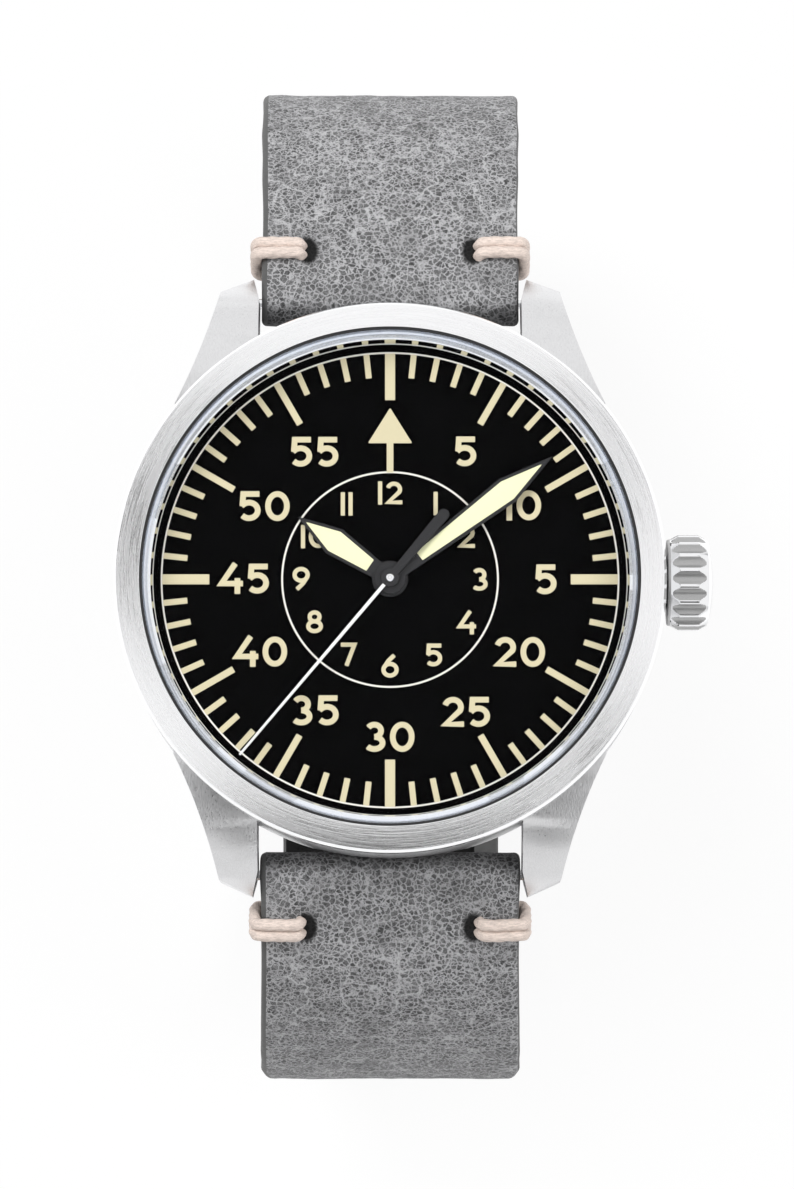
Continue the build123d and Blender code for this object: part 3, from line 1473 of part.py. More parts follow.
def main():
    """Build every node and write it."""
    os.makedirs("parts", exist_ok=True)
    print("hairspring gap to itself in mm", round(hairspring_gap(), 3))
    case_nodes = {
        "mid_case": [mid_case()], "bezel": [bezel()], "crystal": [crystal()],
        "crystal_gasket": [crystal_gasket()], "mirror_ring": [mirror_ring()],
        "case_back_ring": [case_back_ring()], "case_back_glass": [case_back_glass()],
        "case_back_gasket": [case_back_gasket()], "dial": [dial()], "movement_ring": [movement_ring()],
        "main_plate": [main_plate() + minute_post()], "barrel_bridge": [barrel_bridge()],
        "train_bridge": [train_bridge()], "balance_cock": [balance_cock()], "jewels": jewels(),
        "bridge_screws": bridge_screws(),
        "centre_wheel": [centre_wheel()], "third_wheel": [third_wheel()], "seconds_wheel": [seconds_wheel()],
        "escape_wheel": [escape_wheel()], "barrel": [barrel()], "mainspring": [mainspring()],
        "ratchet_wheel": [ratchet_wheel()], "crown_wheel": [crown_wheel()], "pallet_fork": [pallet_fork()],
        "pallet_bridge": [pallet_bridge()], "balance_wheel": [balance_wheel()], "hairspring": [hairspring()],
        "cannon_pinion": [cannon_pinion()], "minute_wheel": [minute_wheel()], "hour_wheel": [hour_wheel()],
        "hour_hand": [hour_hand()], "hour_hand_lume": [hour_hand_lume()], "minute_hand": [minute_hand()],
        "minute_hand_lume": [minute_hand_lume()], "seconds_hand": [seconds_hand()],
        "automatic_bridge": [automatic_bridge()], "rotor": [rotor()], "crown_tube": [crown_tube()],
        "crown": [crown()], "crown_gasket": [crown_gasket()], "winding_stem": [winding_stem()],
        "sliding_pinion": [sliding_pinion()], "winding_pinion": [winding_pinion()],
    }
    for name, shapes in case_nodes.items():
        write(name, raise_all(shapes))
    strap_nodes = {
        "spring_bar_12": [spring_bar(1)], "spring_bar_6": [spring_bar(-1)],
        "strap_12_leather": [strap_12_leather()], "strap_12_lining": [strap_12_lining()],
        "strap_6_leather": [strap_6_leather()], "strap_6_lining": [strap_6_lining()],
        "stitches_12": stitches(1), "stitches_6": stitches(-1), "buckle_frame": [buckle_frame()],
        "buckle_bar": [buckle_bar()], "buckle_tongue": [buckle_tongue()],
        "fixed_keeper": [keeper(fixed_keeper_y)], "free_keeper": [keeper(free_keeper_y)],
    }
    for name, shapes in strap_nodes.items():
        write(name, shapes)


main()
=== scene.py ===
from math import acos, atan2, cos, hypot, pi, radians, sin, sqrt, tan
from types import SimpleNamespace

import bmesh
import bpy
import numpy as np
from bpy.props import FloatProperty, FloatVectorProperty, PointerProperty
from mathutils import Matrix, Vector


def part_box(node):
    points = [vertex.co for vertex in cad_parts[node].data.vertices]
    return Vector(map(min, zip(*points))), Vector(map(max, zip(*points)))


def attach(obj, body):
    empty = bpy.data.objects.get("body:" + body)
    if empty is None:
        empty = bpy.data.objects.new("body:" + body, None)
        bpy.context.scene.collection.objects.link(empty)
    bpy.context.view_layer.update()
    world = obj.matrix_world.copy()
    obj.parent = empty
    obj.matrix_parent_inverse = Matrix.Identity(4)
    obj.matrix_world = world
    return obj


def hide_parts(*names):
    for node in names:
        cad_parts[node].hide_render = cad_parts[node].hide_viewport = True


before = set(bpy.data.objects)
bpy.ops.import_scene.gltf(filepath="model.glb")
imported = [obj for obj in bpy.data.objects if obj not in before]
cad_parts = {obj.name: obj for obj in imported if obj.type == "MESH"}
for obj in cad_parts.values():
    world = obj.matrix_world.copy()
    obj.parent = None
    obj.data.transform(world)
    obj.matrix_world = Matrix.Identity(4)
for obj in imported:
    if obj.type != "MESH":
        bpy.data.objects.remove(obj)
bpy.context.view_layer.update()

bl_info = {
    "name": "Pilot Watch",
    "version": (1, 0, 0),
    "blender": (4, 5, 0),
    "location": "View3D > Sidebar > Watch",
    "description": "Builds the finished surfaces of a pilot watch on its strap round the packed solids",
    "category": "Add Mesh",
}

MM = 0.001

# Fixed values of small forms: millimetres, radians and counts
BAR_RADIUS = 0.75
ROLL_START = radians(290)
STRAP_HEIGHTS, STRAP_WIDTHS = (12, 29, 40, 47), (18.2, 20.6, 20.3, 19.9)
BUCKLE_BAR_Y, BUCKLE_ROLL, BUCKLE_ROLL_END = -2.0, 1.55, radians(305)
DIP_START, DIP_END, DIP = 11.4, 3.6, 1.0
TAIL_GAP, TAIL_END, TAIL_POINT = 0.2, radians(138), 7.0
STITCH_STEP, STITCH_LIFT, STITCH_OUTER, STITCH_LANE, TWIST_LENGTH = 0.12, 0.42, 10.4, 0.45, 4.5
KEEPER_STEP, KEEPER_WALL = 0.3, 1.0
FACE_POINTS, NOISE_CELLS = 61, 64
CROWN_FLUTES, FLUTE_SAMPLES = 18, 16
FLOOR_REACH, CARD_DISTANCE, SENSOR_WIDTH = 3000, 520, 36.0
# Openings of the strap, in millimetres: back, front, low and high of the long ones, then the punched holes
TONGUE_SLOT = (-4.55, 0.55, 3.5, 7.8)
LONG_HOLE = (-10.0, -5.5, -1.0, 5.2)
PUNCH_LOW, PUNCH_HIGH, PUNCHED_HOLES = -1.0, 3.7, 4


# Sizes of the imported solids, in millimetres
def low_of(node, axis):
    """Lowest coordinate of a solid."""
    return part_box(node)[0][axis] / MM


def high_of(node, axis):
    """Highest coordinate of a solid."""
    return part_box(node)[1][axis] / MM


def length(name, description, default):
    """Length property whose default is given in millimetres."""
    return FloatProperty(name=name, description=description, default=default * MM, precision=6, unit="LENGTH")


def angle(name, description, default):
    """Angle property whose default is given in degrees."""
    return FloatProperty(name=name, description=description, default=radians(default), unit="ROTATION")


def colour(name, description, default):
    """Colour property from 0 to 255 screen values."""
    linear = [(c / 255 / 12.92) if c / 255 < 0.04045 else ((c / 255 + 0.055) / 1.055) ** 2.4 for c in default]
    return FloatVectorProperty(name=name, description=description, default=linear, subtype="COLOR", size=3,
                               min=0, max=1)


def millimetres(group):
    """All length properties of a group, in millimetres."""
    names = [p.identifier for p in group.bl_rna.properties if getattr(p, "unit", "NONE") == "LENGTH"]
    return SimpleNamespace(**{name: getattr(group, name) / MM for name in names})


class WatchCase(bpy.types.PropertyGroup):
    """Sizes of the case's turned pieces."""
    radius: length("Case radius", "Outer radius of case and bezel", high_of("bezel", 1))
    bore: length("Bezel bore", "Inner radius of the bezel", 19.0)
    bevel: length("Bezel bevel", "Width of the polished bevel", 0.2)
    slope: length("Bezel slope", "Fall of the bezel's top from bore to bevel", 0.5)
    wall: length("Bezel wall", "Height of the bezel's upright wall", 1.15)
    crystal_bevel: length("Crystal bevel", "Width of the crystal's polished bevel", 0.4)
    ring_foot: length("Mirror ring foot", "Inner radius of the mirror ring at the dial", 17.79)
    ring_top: length("Mirror ring top", "Inner radius of the mirror ring at the crystal", 18.2)


class WatchCrown(bpy.types.PropertyGroup):
    """Sizes of the crown."""
    radius: length("Crown radius", "Radius over the flutes", high_of("crown", 1))
    base: length("Base radius", "Radius of the plain base", 3.3)
    cap: length("Cap radius", "Radius of the domed end", 3.2)
    bore: length("Bore", "Radius of the hollow inside", 2.05)
    flute_start: length("Flute start", "Distance from the crown's start to the flutes", 0.2)
    flute_end: length("Flute end", "Distance from the crown's start to the end of the flutes", 3.05)
    bevel: length("Bevel", "Length of the cone at the flutes' ends", 0.7)
    depth: length("Flute depth", "Depth of the hollow flutes", 0.3)
    land: FloatProperty(name="Land", description="Share of a flute's pitch left as ridge", default=0.2,
                        subtype="FACTOR")


class WatchDial(bpy.types.PropertyGroup):
    """Sizes and colours of the dial's print."""
    outer_circle: length("Outer circle", "Radius of the minute circle", 17.42)
    inner_circle: length("Inner circle", "Radius of the hour circle", 8.23)
    line: length("Line width", "Width of the circles", 0.13)
    minute_end: length("Minute tick end", "Inner end of the minute ticks", 15.54)
    five_end: length("Five-minute tick end", "Inner end of the five-minute ticks", 13.76)
    tick: length("Tick width", "Width of the minute ticks", 0.45)
    quarter: length("Quarter tick width", "Width of the ticks at 3, 6, 9 and 12", 0.77)
    arrow_tip: length("Arrow tip", "Radius of the arrow's tip", 13.19)
    arrow_base: length("Arrow base", "Radius of the arrow's base", 10.46)
    arrow_width: length("Arrow width", "Width of the arrow's base", 3.4)
    stem: length("Arrow stem", "Width of the arrow's stem", 0.51)
    large: length("Large numerals", "Height of the minute numerals", 2.33)
    small: length("Small numerals", "Height of the hour numerals", 1.79)
    print_height: length("Print height", "Thickness of the print", 0.03)
    print_colour: colour("Print", "Colour of the numerals and ticks", (212, 203, 170))
    line_colour: colour("Lines", "Colour of the two circles", (232, 230, 222))


class WatchHands(bpy.types.PropertyGroup):
    """Sizes, turns and colours of the hands."""
    hour_turn: angle("Hour hand", "Angle clockwise from 12", -55.9)
    minute_turn: angle("Minute hand", "Angle clockwise from 12", 53.0)
    seconds_turn: angle("Seconds hand", "Angle clockwise from 12", 220.2)
    hour_length: length("Hour hand length", "From the axis to the tip", 8.52)
    hour_width: length("Hour hand width", "Greatest width", 2.22)
    hour_widest: length("Hour hand widest", "Distance from the axis of the greatest width", 5.13)
    minute_length: length("Minute hand length", "From the axis to the tip", 15.56)
    minute_width: length("Minute hand width", "Greatest width", 2.13)
    minute_widest: length("Minute hand widest", "Distance from the axis of the greatest width", 11.2)
    seconds_length: length("Seconds hand length", "From the axis to the tip", 17.7)
    tail_length: length("Tail length", "From the axis to the tail's end", 6.75)
    tail_width: length("Tail width", "Width of the tail", 0.87)
    rim: length("Frame width", "Width of the frame round the luminous paint", 0.24)
    frame_colour: colour("Frame", "Colour of the hands' frames", (52, 52, 54))
    glow_colour: colour("Luminous paint", "Colour of the hands' filling", (236, 236, 196))


class WatchStrap(bpy.types.PropertyGroup):
    """Sizes and colours of the strap, its keepers and stitches."""
    roll: length("Roll radius", "Outer radius of the roll round the spring bar", 1.8)
    reach_12: length("Reach of the 12 half", "Furthest that side stands from the middle", 42.6)
    reach_6: length("Reach of the 6 half", "Furthest that side stands from the middle", 37.4)
    corner: length("Corner radius", "Radius of the lower corners", 21.4)
    flat_12: length("Flat of the 12 half", "Height of its lower face under the wrist", 3.7)
    flat_6: length("Flat of the 6 half", "Height of its lower face before the dip", 2.2)
    thickness: length("Thickness", "Leather and lining together", 2.3)
    lining: length("Lining", "Thickness of the lining", 0.9)
    fall: angle("Fall", "Angle at which the strap leaves the lugs", 18)
    strand: length("Strand radius", "Radius of one thread of a stitch", 0.49)
    stitch_run: length("Stitch place", "Distance of the stitch from the lug roll", 3.85)
    stitch_hole: length("Stitch hole", "Distance of the hole from the strap's middle", 6.9)
    slot: length("Tongue slot", "Width of the slot and of the long hole for the tongue", 2.4)
    hole: length("Hole", "Radius of the punched holes", 1.0)
    hole_place: length("First hole", "Place along Y of the first punched hole", -0.75)
    hole_pitch: length("Hole pitch", "Distance between the punched holes", 7.0)
    leather_colour: colour("Leather", "Colour of the grey leather", (104, 104, 105))
    vein_colour: colour("Veins", "Colour of the leather's creases", (180, 180, 182))
    thread_colour: colour("Thread", "Colour of the waxed thread", (228, 212, 202))


class WatchStage(bpy.types.PropertyGroup):
    """Camera and light."""
    distance: length("Camera distance", "Camera to the dial", 450.0)
    aim_x: length("Aim X", "Image centre on the dial, toward the crown", 0.53)
    aim_y: length("Aim Y", "Image centre on the dial, toward 12", -1.18)
    aim_z: length("Aim Z", "Height of the dial", 55.0)
    seen_height: length("Seen height", "Height of the image at the dial", 90.6)
    tilt: angle("Tilt", "Lean of the camera toward 6 o'clock", 5.8)


class WatchSettings(bpy.types.PropertyGroup):
    """Everything that the panel shows."""
    case: PointerProperty(type=WatchCase)
    crown: PointerProperty(type=WatchCrown)
    dial: PointerProperty(type=WatchDial)
    hands: PointerProperty(type=WatchHands)
    strap: PointerProperty(type=WatchStrap)
    stage: PointerProperty(type=WatchStage)


# Shader maths
class Signal:
    """Number, vector or colour of a material, which takes part in sums."""

    def __init__(self, look, socket):
        self.look = look
        self.socket = socket

    def output(self, name):
        """Another output of the same node."""
        return Signal(self.look, self.socket.node.outputs[name])

    def __add__(self, other):
        return self.look.combine("ADD", self, other)

    def __sub__(self, other):
        return self.look.combine("SUBTRACT", self, other)

    def __rsub__(self, other):
        return self.look.combine("SUBTRACT", other, self)

    def __mul__(self, other):
        return self.look.combine("MULTIPLY", self, other)

    def __rmul__(self, other):
        return self.look.combine("MULTIPLY", other, self)

    def __truediv__(self, other):
        return self.look.combine("DIVIDE", self, other)


class Look:
    """Node tree of a material or the world, built through one method."""

    def __init__(self, owner):
        owner.use_nodes = True
        self.owner = owner
        self.tree = owner.node_tree
        self.tree.nodes.clear()

    def add(self, kind, settings=None, inputs=None):
        """Add a node, set it up, fill its inputs with values or links and give its first output."""
        node = self.tree.nodes.new("ShaderNode" + kind)
        for key, value in (settings or {}).items():
            if key == "stops":
                ramp = node.color_ramp.elements
                while len(ramp) < len(value):
                    ramp.new(0.5)
                for stop, (place, tone) in zip(ramp, value):
                    stop.position = place
                    stop.color = tone if len(tone) == 4 else (*tone, 1)
            else:
                setattr(node, key, value)
        for key, value in (inputs or {}).items():
            socket = node.inputs[key] if isinstance(key, int) else next(
                s for s in node.inputs if s.enabled and s.name == key)
            if isinstance(value, Signal):
                self.tree.links.new(value.socket, socket)
            else:
                if socket.type == "RGBA" and len(value) == 3:
                    value = (*value, 1)
                socket.default_value = value
        return Signal(self, next(s for s in node.outputs if s.enabled)) if len(node.outputs) else None

    def combine(self, operation, first, second):
        """One sum of two operands, of which at least one is a signal."""
        kinds = {s.socket.type for s in (first, second) if isinstance(s, Signal)}
        if "RGBA" in kinds:
            pair = [s if isinstance(s, Signal) or not isinstance(s, (int, float)) else (s, s, s, 1)
                    for s in (first, second)]
            return self.add("Mix", {"data_type": "RGBA", "blend_type": operation},
                            {"Factor": 1.0, "A": pair[0], "B": pair[1]})
        if "VECTOR" in kinds:
            pair = [(s, s, s) if isinstance(s, (int, float)) else s for s in (first, second)]
            return self.add("VectorMath", {"operation": operation}, {0: pair[0], 1: pair[1]})
        return self.add("Math", {"operation": operation}, {0: first, 1: second})

    def place(self):
        """Object coordinates in millimetres."""
        return self.add("TexCoord").output("Object") * (1 / MM)

    def parts(self, vector):
        """X, Y and Z of a vector."""
        split = self.add("SeparateXYZ", None, {0: vector})
        return split, split.output("Y"), split.output("Z")

    def join(self, x, y, z):
        """Vector from three numbers or signals."""
        return self.add("CombineXYZ", None, {0: x, 1: y, 2: z})

    def noise(self, vector, scale, detail=3.0, roughness=0.5):
        """Soft noise between 0 and 1."""
        return self.add("TexNoise", None, {"Vector": vector, "Scale": scale, "Detail": detail,
                                           "Roughness": roughness})

    def ranged(self, value, low, high, to_low=0.0, to_high=1.0):
        """Value mapped smoothly from one range to another."""
        return self.add("MapRange", {"interpolation_type": "SMOOTHSTEP"},
                        {"Value": value, "From Min": low, "From Max": high, "To Min": to_low,
                         "To Max": to_high})

    def math(self, operation, first, second=0.0):
        """Operation on single numbers, such as a root or the larger of two."""
        return self.add("Math", {"operation": operation}, {0: first, 1: second})

    def cells(self, vector, scale, feature="DISTANCE_TO_EDGE", randomness=1.0):
        """Distance within a net of cells."""
        return self.add("TexVoronoi", {"feature": feature},
                        {"Vector": vector, "Scale": scale, "Randomness": randomness})

    def blend(self, factor, first, second):
        """Mix of two colours."""
        return self.add("Mix", {"data_type": "RGBA"}, {"Factor": factor, "A": first, "B": second})

    def bump(self, height, distance, strength=1.0):
        """Normal from a height of 0 to 1 and its depth in millimetres."""
        return self.add("Bump", None, {"Height": height, "Distance": distance * MM, "Strength": strength})

    def finish(self, **inputs):
        """Principled shader on the output. Names take spaces for underlines."""
        shader = self.add("BsdfPrincipled", None, {k.replace("_", " "): v for k, v in inputs.items()})
        self.add("OutputMaterial", None, {"Surface": shader})
        return self.owner


finishes = {}


def finish(maker):
    """Make each material once and hand it out by name."""
    def made():
        name = maker.__name__
        if name not in finishes:
            finishes[name] = maker(Look(bpy.data.materials.new(name)))
        return finishes[name]
    return made


def round_grain(look, place, across=9.0, along=2.2):
    """Streaks that run round the Z axis."""
    x, y, z = look.parts(place)
    radius = look.math("SQRT", x * x + y * y)
    round_place = look.join(radius * across, x / radius * along, y / radius * along + z * across)
    return look.noise(round_place, 1.0, 4.0, 0.6)


def straight_grain(look, place, way, across=9.0, along=0.35):
    """Streaks that run along one axis."""
    scales = [across, across, across]
    scales["XYZ".index(way)] = along
    return look.noise(place * tuple(scales), 1.0, 4.0, 0.6)


def brushed(look, grain, tone, base_roughness=0.3):
    """Brushed metal from a grain signal."""
    fine = look.ranged(grain, 0.3, 0.7)
    return look.finish(Base_Color=look.blend(fine, darker(tone, 0.92), tone), Metallic=1.0,
                       Roughness=fine * 0.12 + base_roughness, Normal=look.bump(fine, 0.012, 0.6))


def darker(tone, share):
    """Colour taken down by a share."""
    return tuple(c * share for c in tone)


def grained(look, scale, detail, dark, light, rough, spread=(0.2, 0.8), bump=None, **more):
    """Finish whose colour, roughness and relief follow one soft grain."""
    grain = look.noise(look.place(), scale, detail)
    if bump:
        more["Normal"] = look.bump(grain, *bump)
    return look.finish(Base_Color=look.blend(grain, dark, light),
                       Roughness=look.ranged(grain, *spread, *rough), **more)


def settings():
    """The scene's watch settings."""
    return bpy.context.scene.watch


STEEL = (0.80, 0.80, 0.81)
BRASS = (0.83, 0.62, 0.30)


@finish
def bezel_steel(look):
    return brushed(look, round_grain(look, look.place(), 9.0, 5.0), (0.99, 0.99, 1.0), 0.22)


@finish
def lug_steel(look):
    return brushed(look, straight_grain(look, look.place(), "Y"), STEEL, 0.27)


@finish
def back_steel(look):
    return brushed(look, round_grain(look, look.place(), 7.0, 3.0), STEEL, 0.25)


@finish
def buckle_steel(look):
    return brushed(look, straight_grain(look, look.place(), "X"), STEEL, 0.24)


@finish
def polished_steel(look):
    return grained(look, 1.3, 3.0, (0.86, 0.87, 0.88), (0.92, 0.92, 0.93), (0.04, 0.09), (0.3, 0.7),
                   Metallic=1.0)


@finish
def mirror_steel(look):
    return grained(look, 2.0, 2.0, (0.82, 0.84, 0.87), (0.88, 0.90, 0.92), (0.02, 0.04), (0.3, 0.7),
                   Metallic=1.0)


@finish
def crown_matt(look):
    return grained(look, 14.0, 4.0, (0.4, 0.4, 0.4), (0.6, 0.6, 0.6), (0.38, 0.5), bump=(0.01, 0.5),
                   Metallic=1.0)


@finish
def striped_nickel(look):
    place = look.place()
    x, y, _ = look.parts(place)
    stripe = look.math("FRACT", (x * 0.8 + y * 0.6) * 0.62 + 100.0)
    grain = straight_grain(look, place, "X", 7.0, 0.6)
    tone = look.blend(look.ranged(stripe, 0.0, 1.0), (0.66, 0.65, 0.62), (0.88, 0.87, 0.84))
    return look.finish(Base_Color=tone, Metallic=1.0, Roughness=grain * 0.14 + 0.2,
                       Normal=look.bump(stripe + grain * 0.3, 0.03, 0.5))


@finish
def pearled_nickel(look):
    cells = look.cells(look.place(), 0.75, "F1", 0.12)
    rings = look.math("SINE", cells * 26.0)
    tone = look.ranged(cells, 0.0, 0.7)
    return look.finish(Base_Color=look.blend(tone, (0.84, 0.83, 0.80), (0.62, 0.61, 0.58)), Metallic=1.0,
                       Roughness=look.ranged(rings, -1.0, 1.0, 0.2, 0.34), Normal=look.bump(rings, 0.01, 0.4))


@finish
def snailed_steel(look):
    return brushed(look, round_grain(look, look.place(), 6.0, 1.2), (0.8, 0.8, 0.8), 0.18)


@finish
def gilt_brass(look):
    return grained(look, 5.0, 4.0, (0.74, 0.54, 0.25), BRASS, (0.18, 0.32), bump=(0.004, 0.5), Metallic=1.0)


@finish
def spring_blue(look):
    return grained(look, 3.0, 2.0, (0.05, 0.08, 0.30), (0.10, 0.14, 0.42), (0.12, 0.2), Metallic=1.0)


@finish
def ruby(look):
    return grained(look, 2.0, 2.0, (0.55, 0.01, 0.05), (0.8, 0.03, 0.12), (0.03, 0.08), (0.3, 0.7),
                   Coat_Weight=0.6)


@finish
def rubber(look):
    return grained(look, 9.0, 3.0, (0.012, 0.012, 0.013), (0.03, 0.03, 0.032), (0.5, 0.75))


@finish
def dial_black(look):
    return grained(look, 22.0, 3.0, (0.0004, 0.0004, 0.0004), (0.0012, 0.0011, 0.0012), (0.75, 0.95),
                   bump=(0.006, 0.5), Specular_IOR_Level=0.04)


def paint(look, tone, spread=0.9):
    """Matt paint with a soft grain."""
    return grained(look, 6.0, 4.0, darker(tone, spread), tuple(tone), (0.55, 0.8), bump=(0.012, 0.5),
                   Specular_IOR_Level=0.2)


@finish
def print_paint(look):
    return paint(look, settings().dial.print_colour)


@finish
def line_paint(look):
    return paint(look, settings().dial.line_colour)


@finish
def glow_paint(look):
    return paint(look, settings().hands.glow_colour, 0.95)


@finish
def hand_grey(look):
    tone = tuple(settings().hands.frame_colour)
    return grained(look, 12.0, 3.0, darker(tone, 0.8), tone, (0.4, 0.55), Metallic=0.4)


@finish
def needle_white(look):
    return paint(look, (0.8, 0.8, 0.8), 0.95)


def clear(look, tone, least, most):
    """Anti-reflective sapphire, seen only by its gloss."""
    glance = look.add("LayerWeight", None, {"Blend": 0.25})
    haze = look.noise(look.place(), 0.6, 2.0)
    return look.finish(Base_Color=look.blend(haze, tone, (0.9, 0.93, 1.0)), Metallic=1.0, Roughness=0.02,
                       Alpha=look.ranged(glance, 0.0, 1.0, least, most) + haze * 0.002)


@finish
def sapphire(look):
    return clear(look, (0.85, 0.88, 0.95), 0.0, 0.22)


@finish
def sapphire_edge(look):
    return clear(look, (0.82, 0.87, 0.97), 0.55, 0.9)


def top_of_roll(s, fall):
    """Distance along the outer face at which the roll ends."""
    return s.roll * (ROLL_START - (pi / 2 - fall))


def stitch_places():
    """Middle of each half's stitch on the outer face, with its outward normal."""
    group = settings().strap
    s = millimetres(group)
    top_run = top_of_roll(s, group.fall)
    made = []
    for side, twelve in ((1, True), (-1, False)):
        points, normals, run = strap_line(s, group.fall, twelve)
        place = int(np.argmin(abs(run - top_run - s.stitch_run)))
        made.append((np.array((0, side * points[place][0], points[place][1])),
                     np.array((0, side * normals[place][0], normals[place][1]))))
    return made


@finish
def leather(look):
    strap = settings().strap
    hole_x = strap.stitch_hole / MM - 0.5
    place = look.place()
    x, y, z = look.parts(place)
    warp = place + (look.noise(place, 0.5, 5.0, 0.6).output("Color") - 0.5) * 3.2
    fine_warp = place + (look.noise(place, 3.0, 2.0).output("Color") - 0.5) * 0.4
    cells = look.cells(warp * (0.8, 1.0, 1.0), 0.38)
    twigs = look.cells(warp, 1.0)
    pebbles = look.cells(fine_warp, 2.3)
    cloud = look.noise(place, 0.3, 4.0, 0.65)
    patch = look.noise(place, 0.9, 3.0, 0.6)
    grain = look.noise(place, 9.0, 4.0, 0.75)
    reach = look.math("ABSOLUTE", y)
    six = look.ranged(reach, 25.0, 30.0, 0.35, 1.0)
    vein = look.ranged(cells, 0.0, 0.045, 1.0, 0.0) * look.ranged(patch, 0.3, 0.5, 0.25, 1.0) * six
    twig = look.ranged(twigs, 0.0, 0.075, 1.0, 0.0) * look.ranged(patch, 0.62, 0.42, 0.1, 1.0) * six
    mesh = look.ranged(pebbles, 0.02, 0.15, 1.0, 0.0)
    tone = tuple(strap.leather_colour)
    ground = look.blend(look.ranged(patch, 0.3, 0.65), darker(tone, 0.4), darker(tone, 0.95))
    ground = ground * look.ranged(grain, 0.35, 0.65, 0.4, 1.6)
    meshed = look.blend(mesh * look.ranged(cloud, 0.25, 0.65, 0.4, 0.8), ground, tuple(strap.vein_colour))
    veined = look.blend(look.math("MAXIMUM", vein, twig * 0.75), meshed,
                        tuple(strap.vein_colour))
    # Painted shade: high on the roll, where it faces the case wall between the lugs, the leather is darkened
    # by up to half.
    upper = look.ranged(z, 38.0, 42.0, 0.0, 1.0)
    veined = veined * (1.0 - upper * look.ranged(reach, 22.2, 21.2, 0.0, 0.5))
    # Painted shade of the stitch holes, which are not cut: the leather goes nearly black round each hole, and
    # the same mask dents the bump.
    shade = 1.0
    for at, _ in stitch_places():
        spot = look.join((look.math("ABSOLUTE", x) - hole_x) * (1 / 0.8),
                         (y - float(at[1])) * (1 / 1.25), (z - float(at[2])) * (1 / 1.25))
        away = look.add("VectorMath", {"operation": "LENGTH"}, {0: spot}).output("Value")
        shade = shade * look.ranged(away, 0.75, 1.25, 0.03, 1.0)
    height = mesh * 0.3 + grain * 0.4 + vein * 0.5 + shade * 1.5
    return look.finish(Base_Color=veined * shade, Roughness=look.ranged(grain, 0.2, 0.8, 0.6, 0.8),
                       Specular_IOR_Level=0.25, Normal=look.bump(height, 0.07, 0.8))


@finish
def leather_edge(look):
    place = look.place()
    grain = look.noise(place * (0.6, 1.0, 1.0), 3.0, 4.0)
    return look.finish(Base_Color=look.blend(grain, (0.05, 0.05, 0.05), (0.12, 0.12, 0.12)),
                       Roughness=look.ranged(grain, 0.2, 0.8, 0.5, 0.75), Normal=look.bump(grain, 0.05, 0.6))


@finish
def lining(look):
    place = look.place()
    pores = look.cells(place, 2.6, "F1")
    grain = look.noise(place, 4.0, 4.0)
    tone = look.blend(look.ranged(pores, 0.1, 0.4), (0.003, 0.003, 0.003), (0.009, 0.009, 0.009))
    return look.finish(Base_Color=tone * look.ranged(grain, 0.2, 0.8, 0.7, 1.2),
                       Roughness=look.ranged(grain, 0.2, 0.8, 0.6, 0.8), Specular_IOR_Level=0.12,
                       Normal=look.bump(pores, 0.05, 0.6))


@finish
def thread(look):
    place = look.place()
    fibres = look.noise(place * (1.6, 9.0, 9.0), 1.0, 5.0, 0.8)
    tone = tuple(settings().strap.thread_colour)
    return look.finish(Base_Color=look.blend(look.ranged(fibres, 0.3, 0.65), darker(tone, 0.6), tone),
                       Roughness=look.ranged(fibres, 0.2, 0.8, 0.45, 0.65),
                       Normal=look.bump(fibres, 0.05, 0.7))


# Shapes, all in millimetres
def piece_of(name, points, faces, materials, slots=None, sharp=32):
    """Object from points and faces, smooth but for its sharp edges."""
    mesh = bpy.data.meshes.new(name)
    mesh.from_pydata([tuple(float(c) * MM for c in p) for p in points], [], faces)
    for material in materials:
        mesh.materials.append(material)
    if slots is not None:
        mesh.polygons.foreach_set("material_index", slots)
    work = bmesh.new()
    work.from_mesh(mesh)
    bmesh.ops.remove_doubles(work, verts=work.verts, dist=1e-8)
    bmesh.ops.recalc_face_normals(work, faces=work.faces)
    work.to_mesh(mesh)
    work.free()
    mesh.shade_smooth()
    mesh.set_sharp_from_angle(angle=radians(sharp))
    piece = bpy.data.objects.new(name, mesh)
    bpy.context.scene.collection.objects.link(piece)
    return piece


def settle(piece, body, nodes):
    """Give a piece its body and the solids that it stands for."""
    if piece is None:
        raise RuntimeError("a piece of " + str(nodes) + " was not made")
    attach(piece, body)
    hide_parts(*nodes)
    return piece


def rounded(corners, radius, steps=4, closed=True):
    """Outline whose corners are arcs. A corner may carry its own radius as a third number."""
    made = []
    count = len(corners)
    for index, corner in enumerate(corners):
        x, y = corner[:2]
        own = corner[2] if len(corner) > 2 else radius
        if own == 0 or (not closed and index in (0, count - 1)):
            made.append((x, y))
            continue
        before = corners[index - 1][:2]
        after = corners[(index + 1) % count][:2]
        back = (before[0] - x, before[1] - y)
        ahead = (after[0] - x, after[1] - y)
        back_length, ahead_length = hypot(*back), hypot(*ahead)
        back = (back[0] / back_length, back[1] / back_length)
        ahead = (ahead[0] / ahead_length, ahead[1] / ahead_length)
        opening = acos(max(-1, min(1, back[0] * ahead[0] + back[1] * ahead[1])))
        if opening > pi - 0.02:
            made.append((x, y))
            continue
        setback = min(own / tan(opening / 2), 0.48 * back_length, 0.48 * ahead_length)
        for step in range(steps + 1):
            share = step / steps
            first = ((1 - share) ** 2, 2 * share * (1 - share), share ** 2)
            made.append((x + setback * (back[0] * first[0] + ahead[0] * first[2]),
                         y + setback * (back[1] * first[0] + ahead[1] * first[2])))
    return made


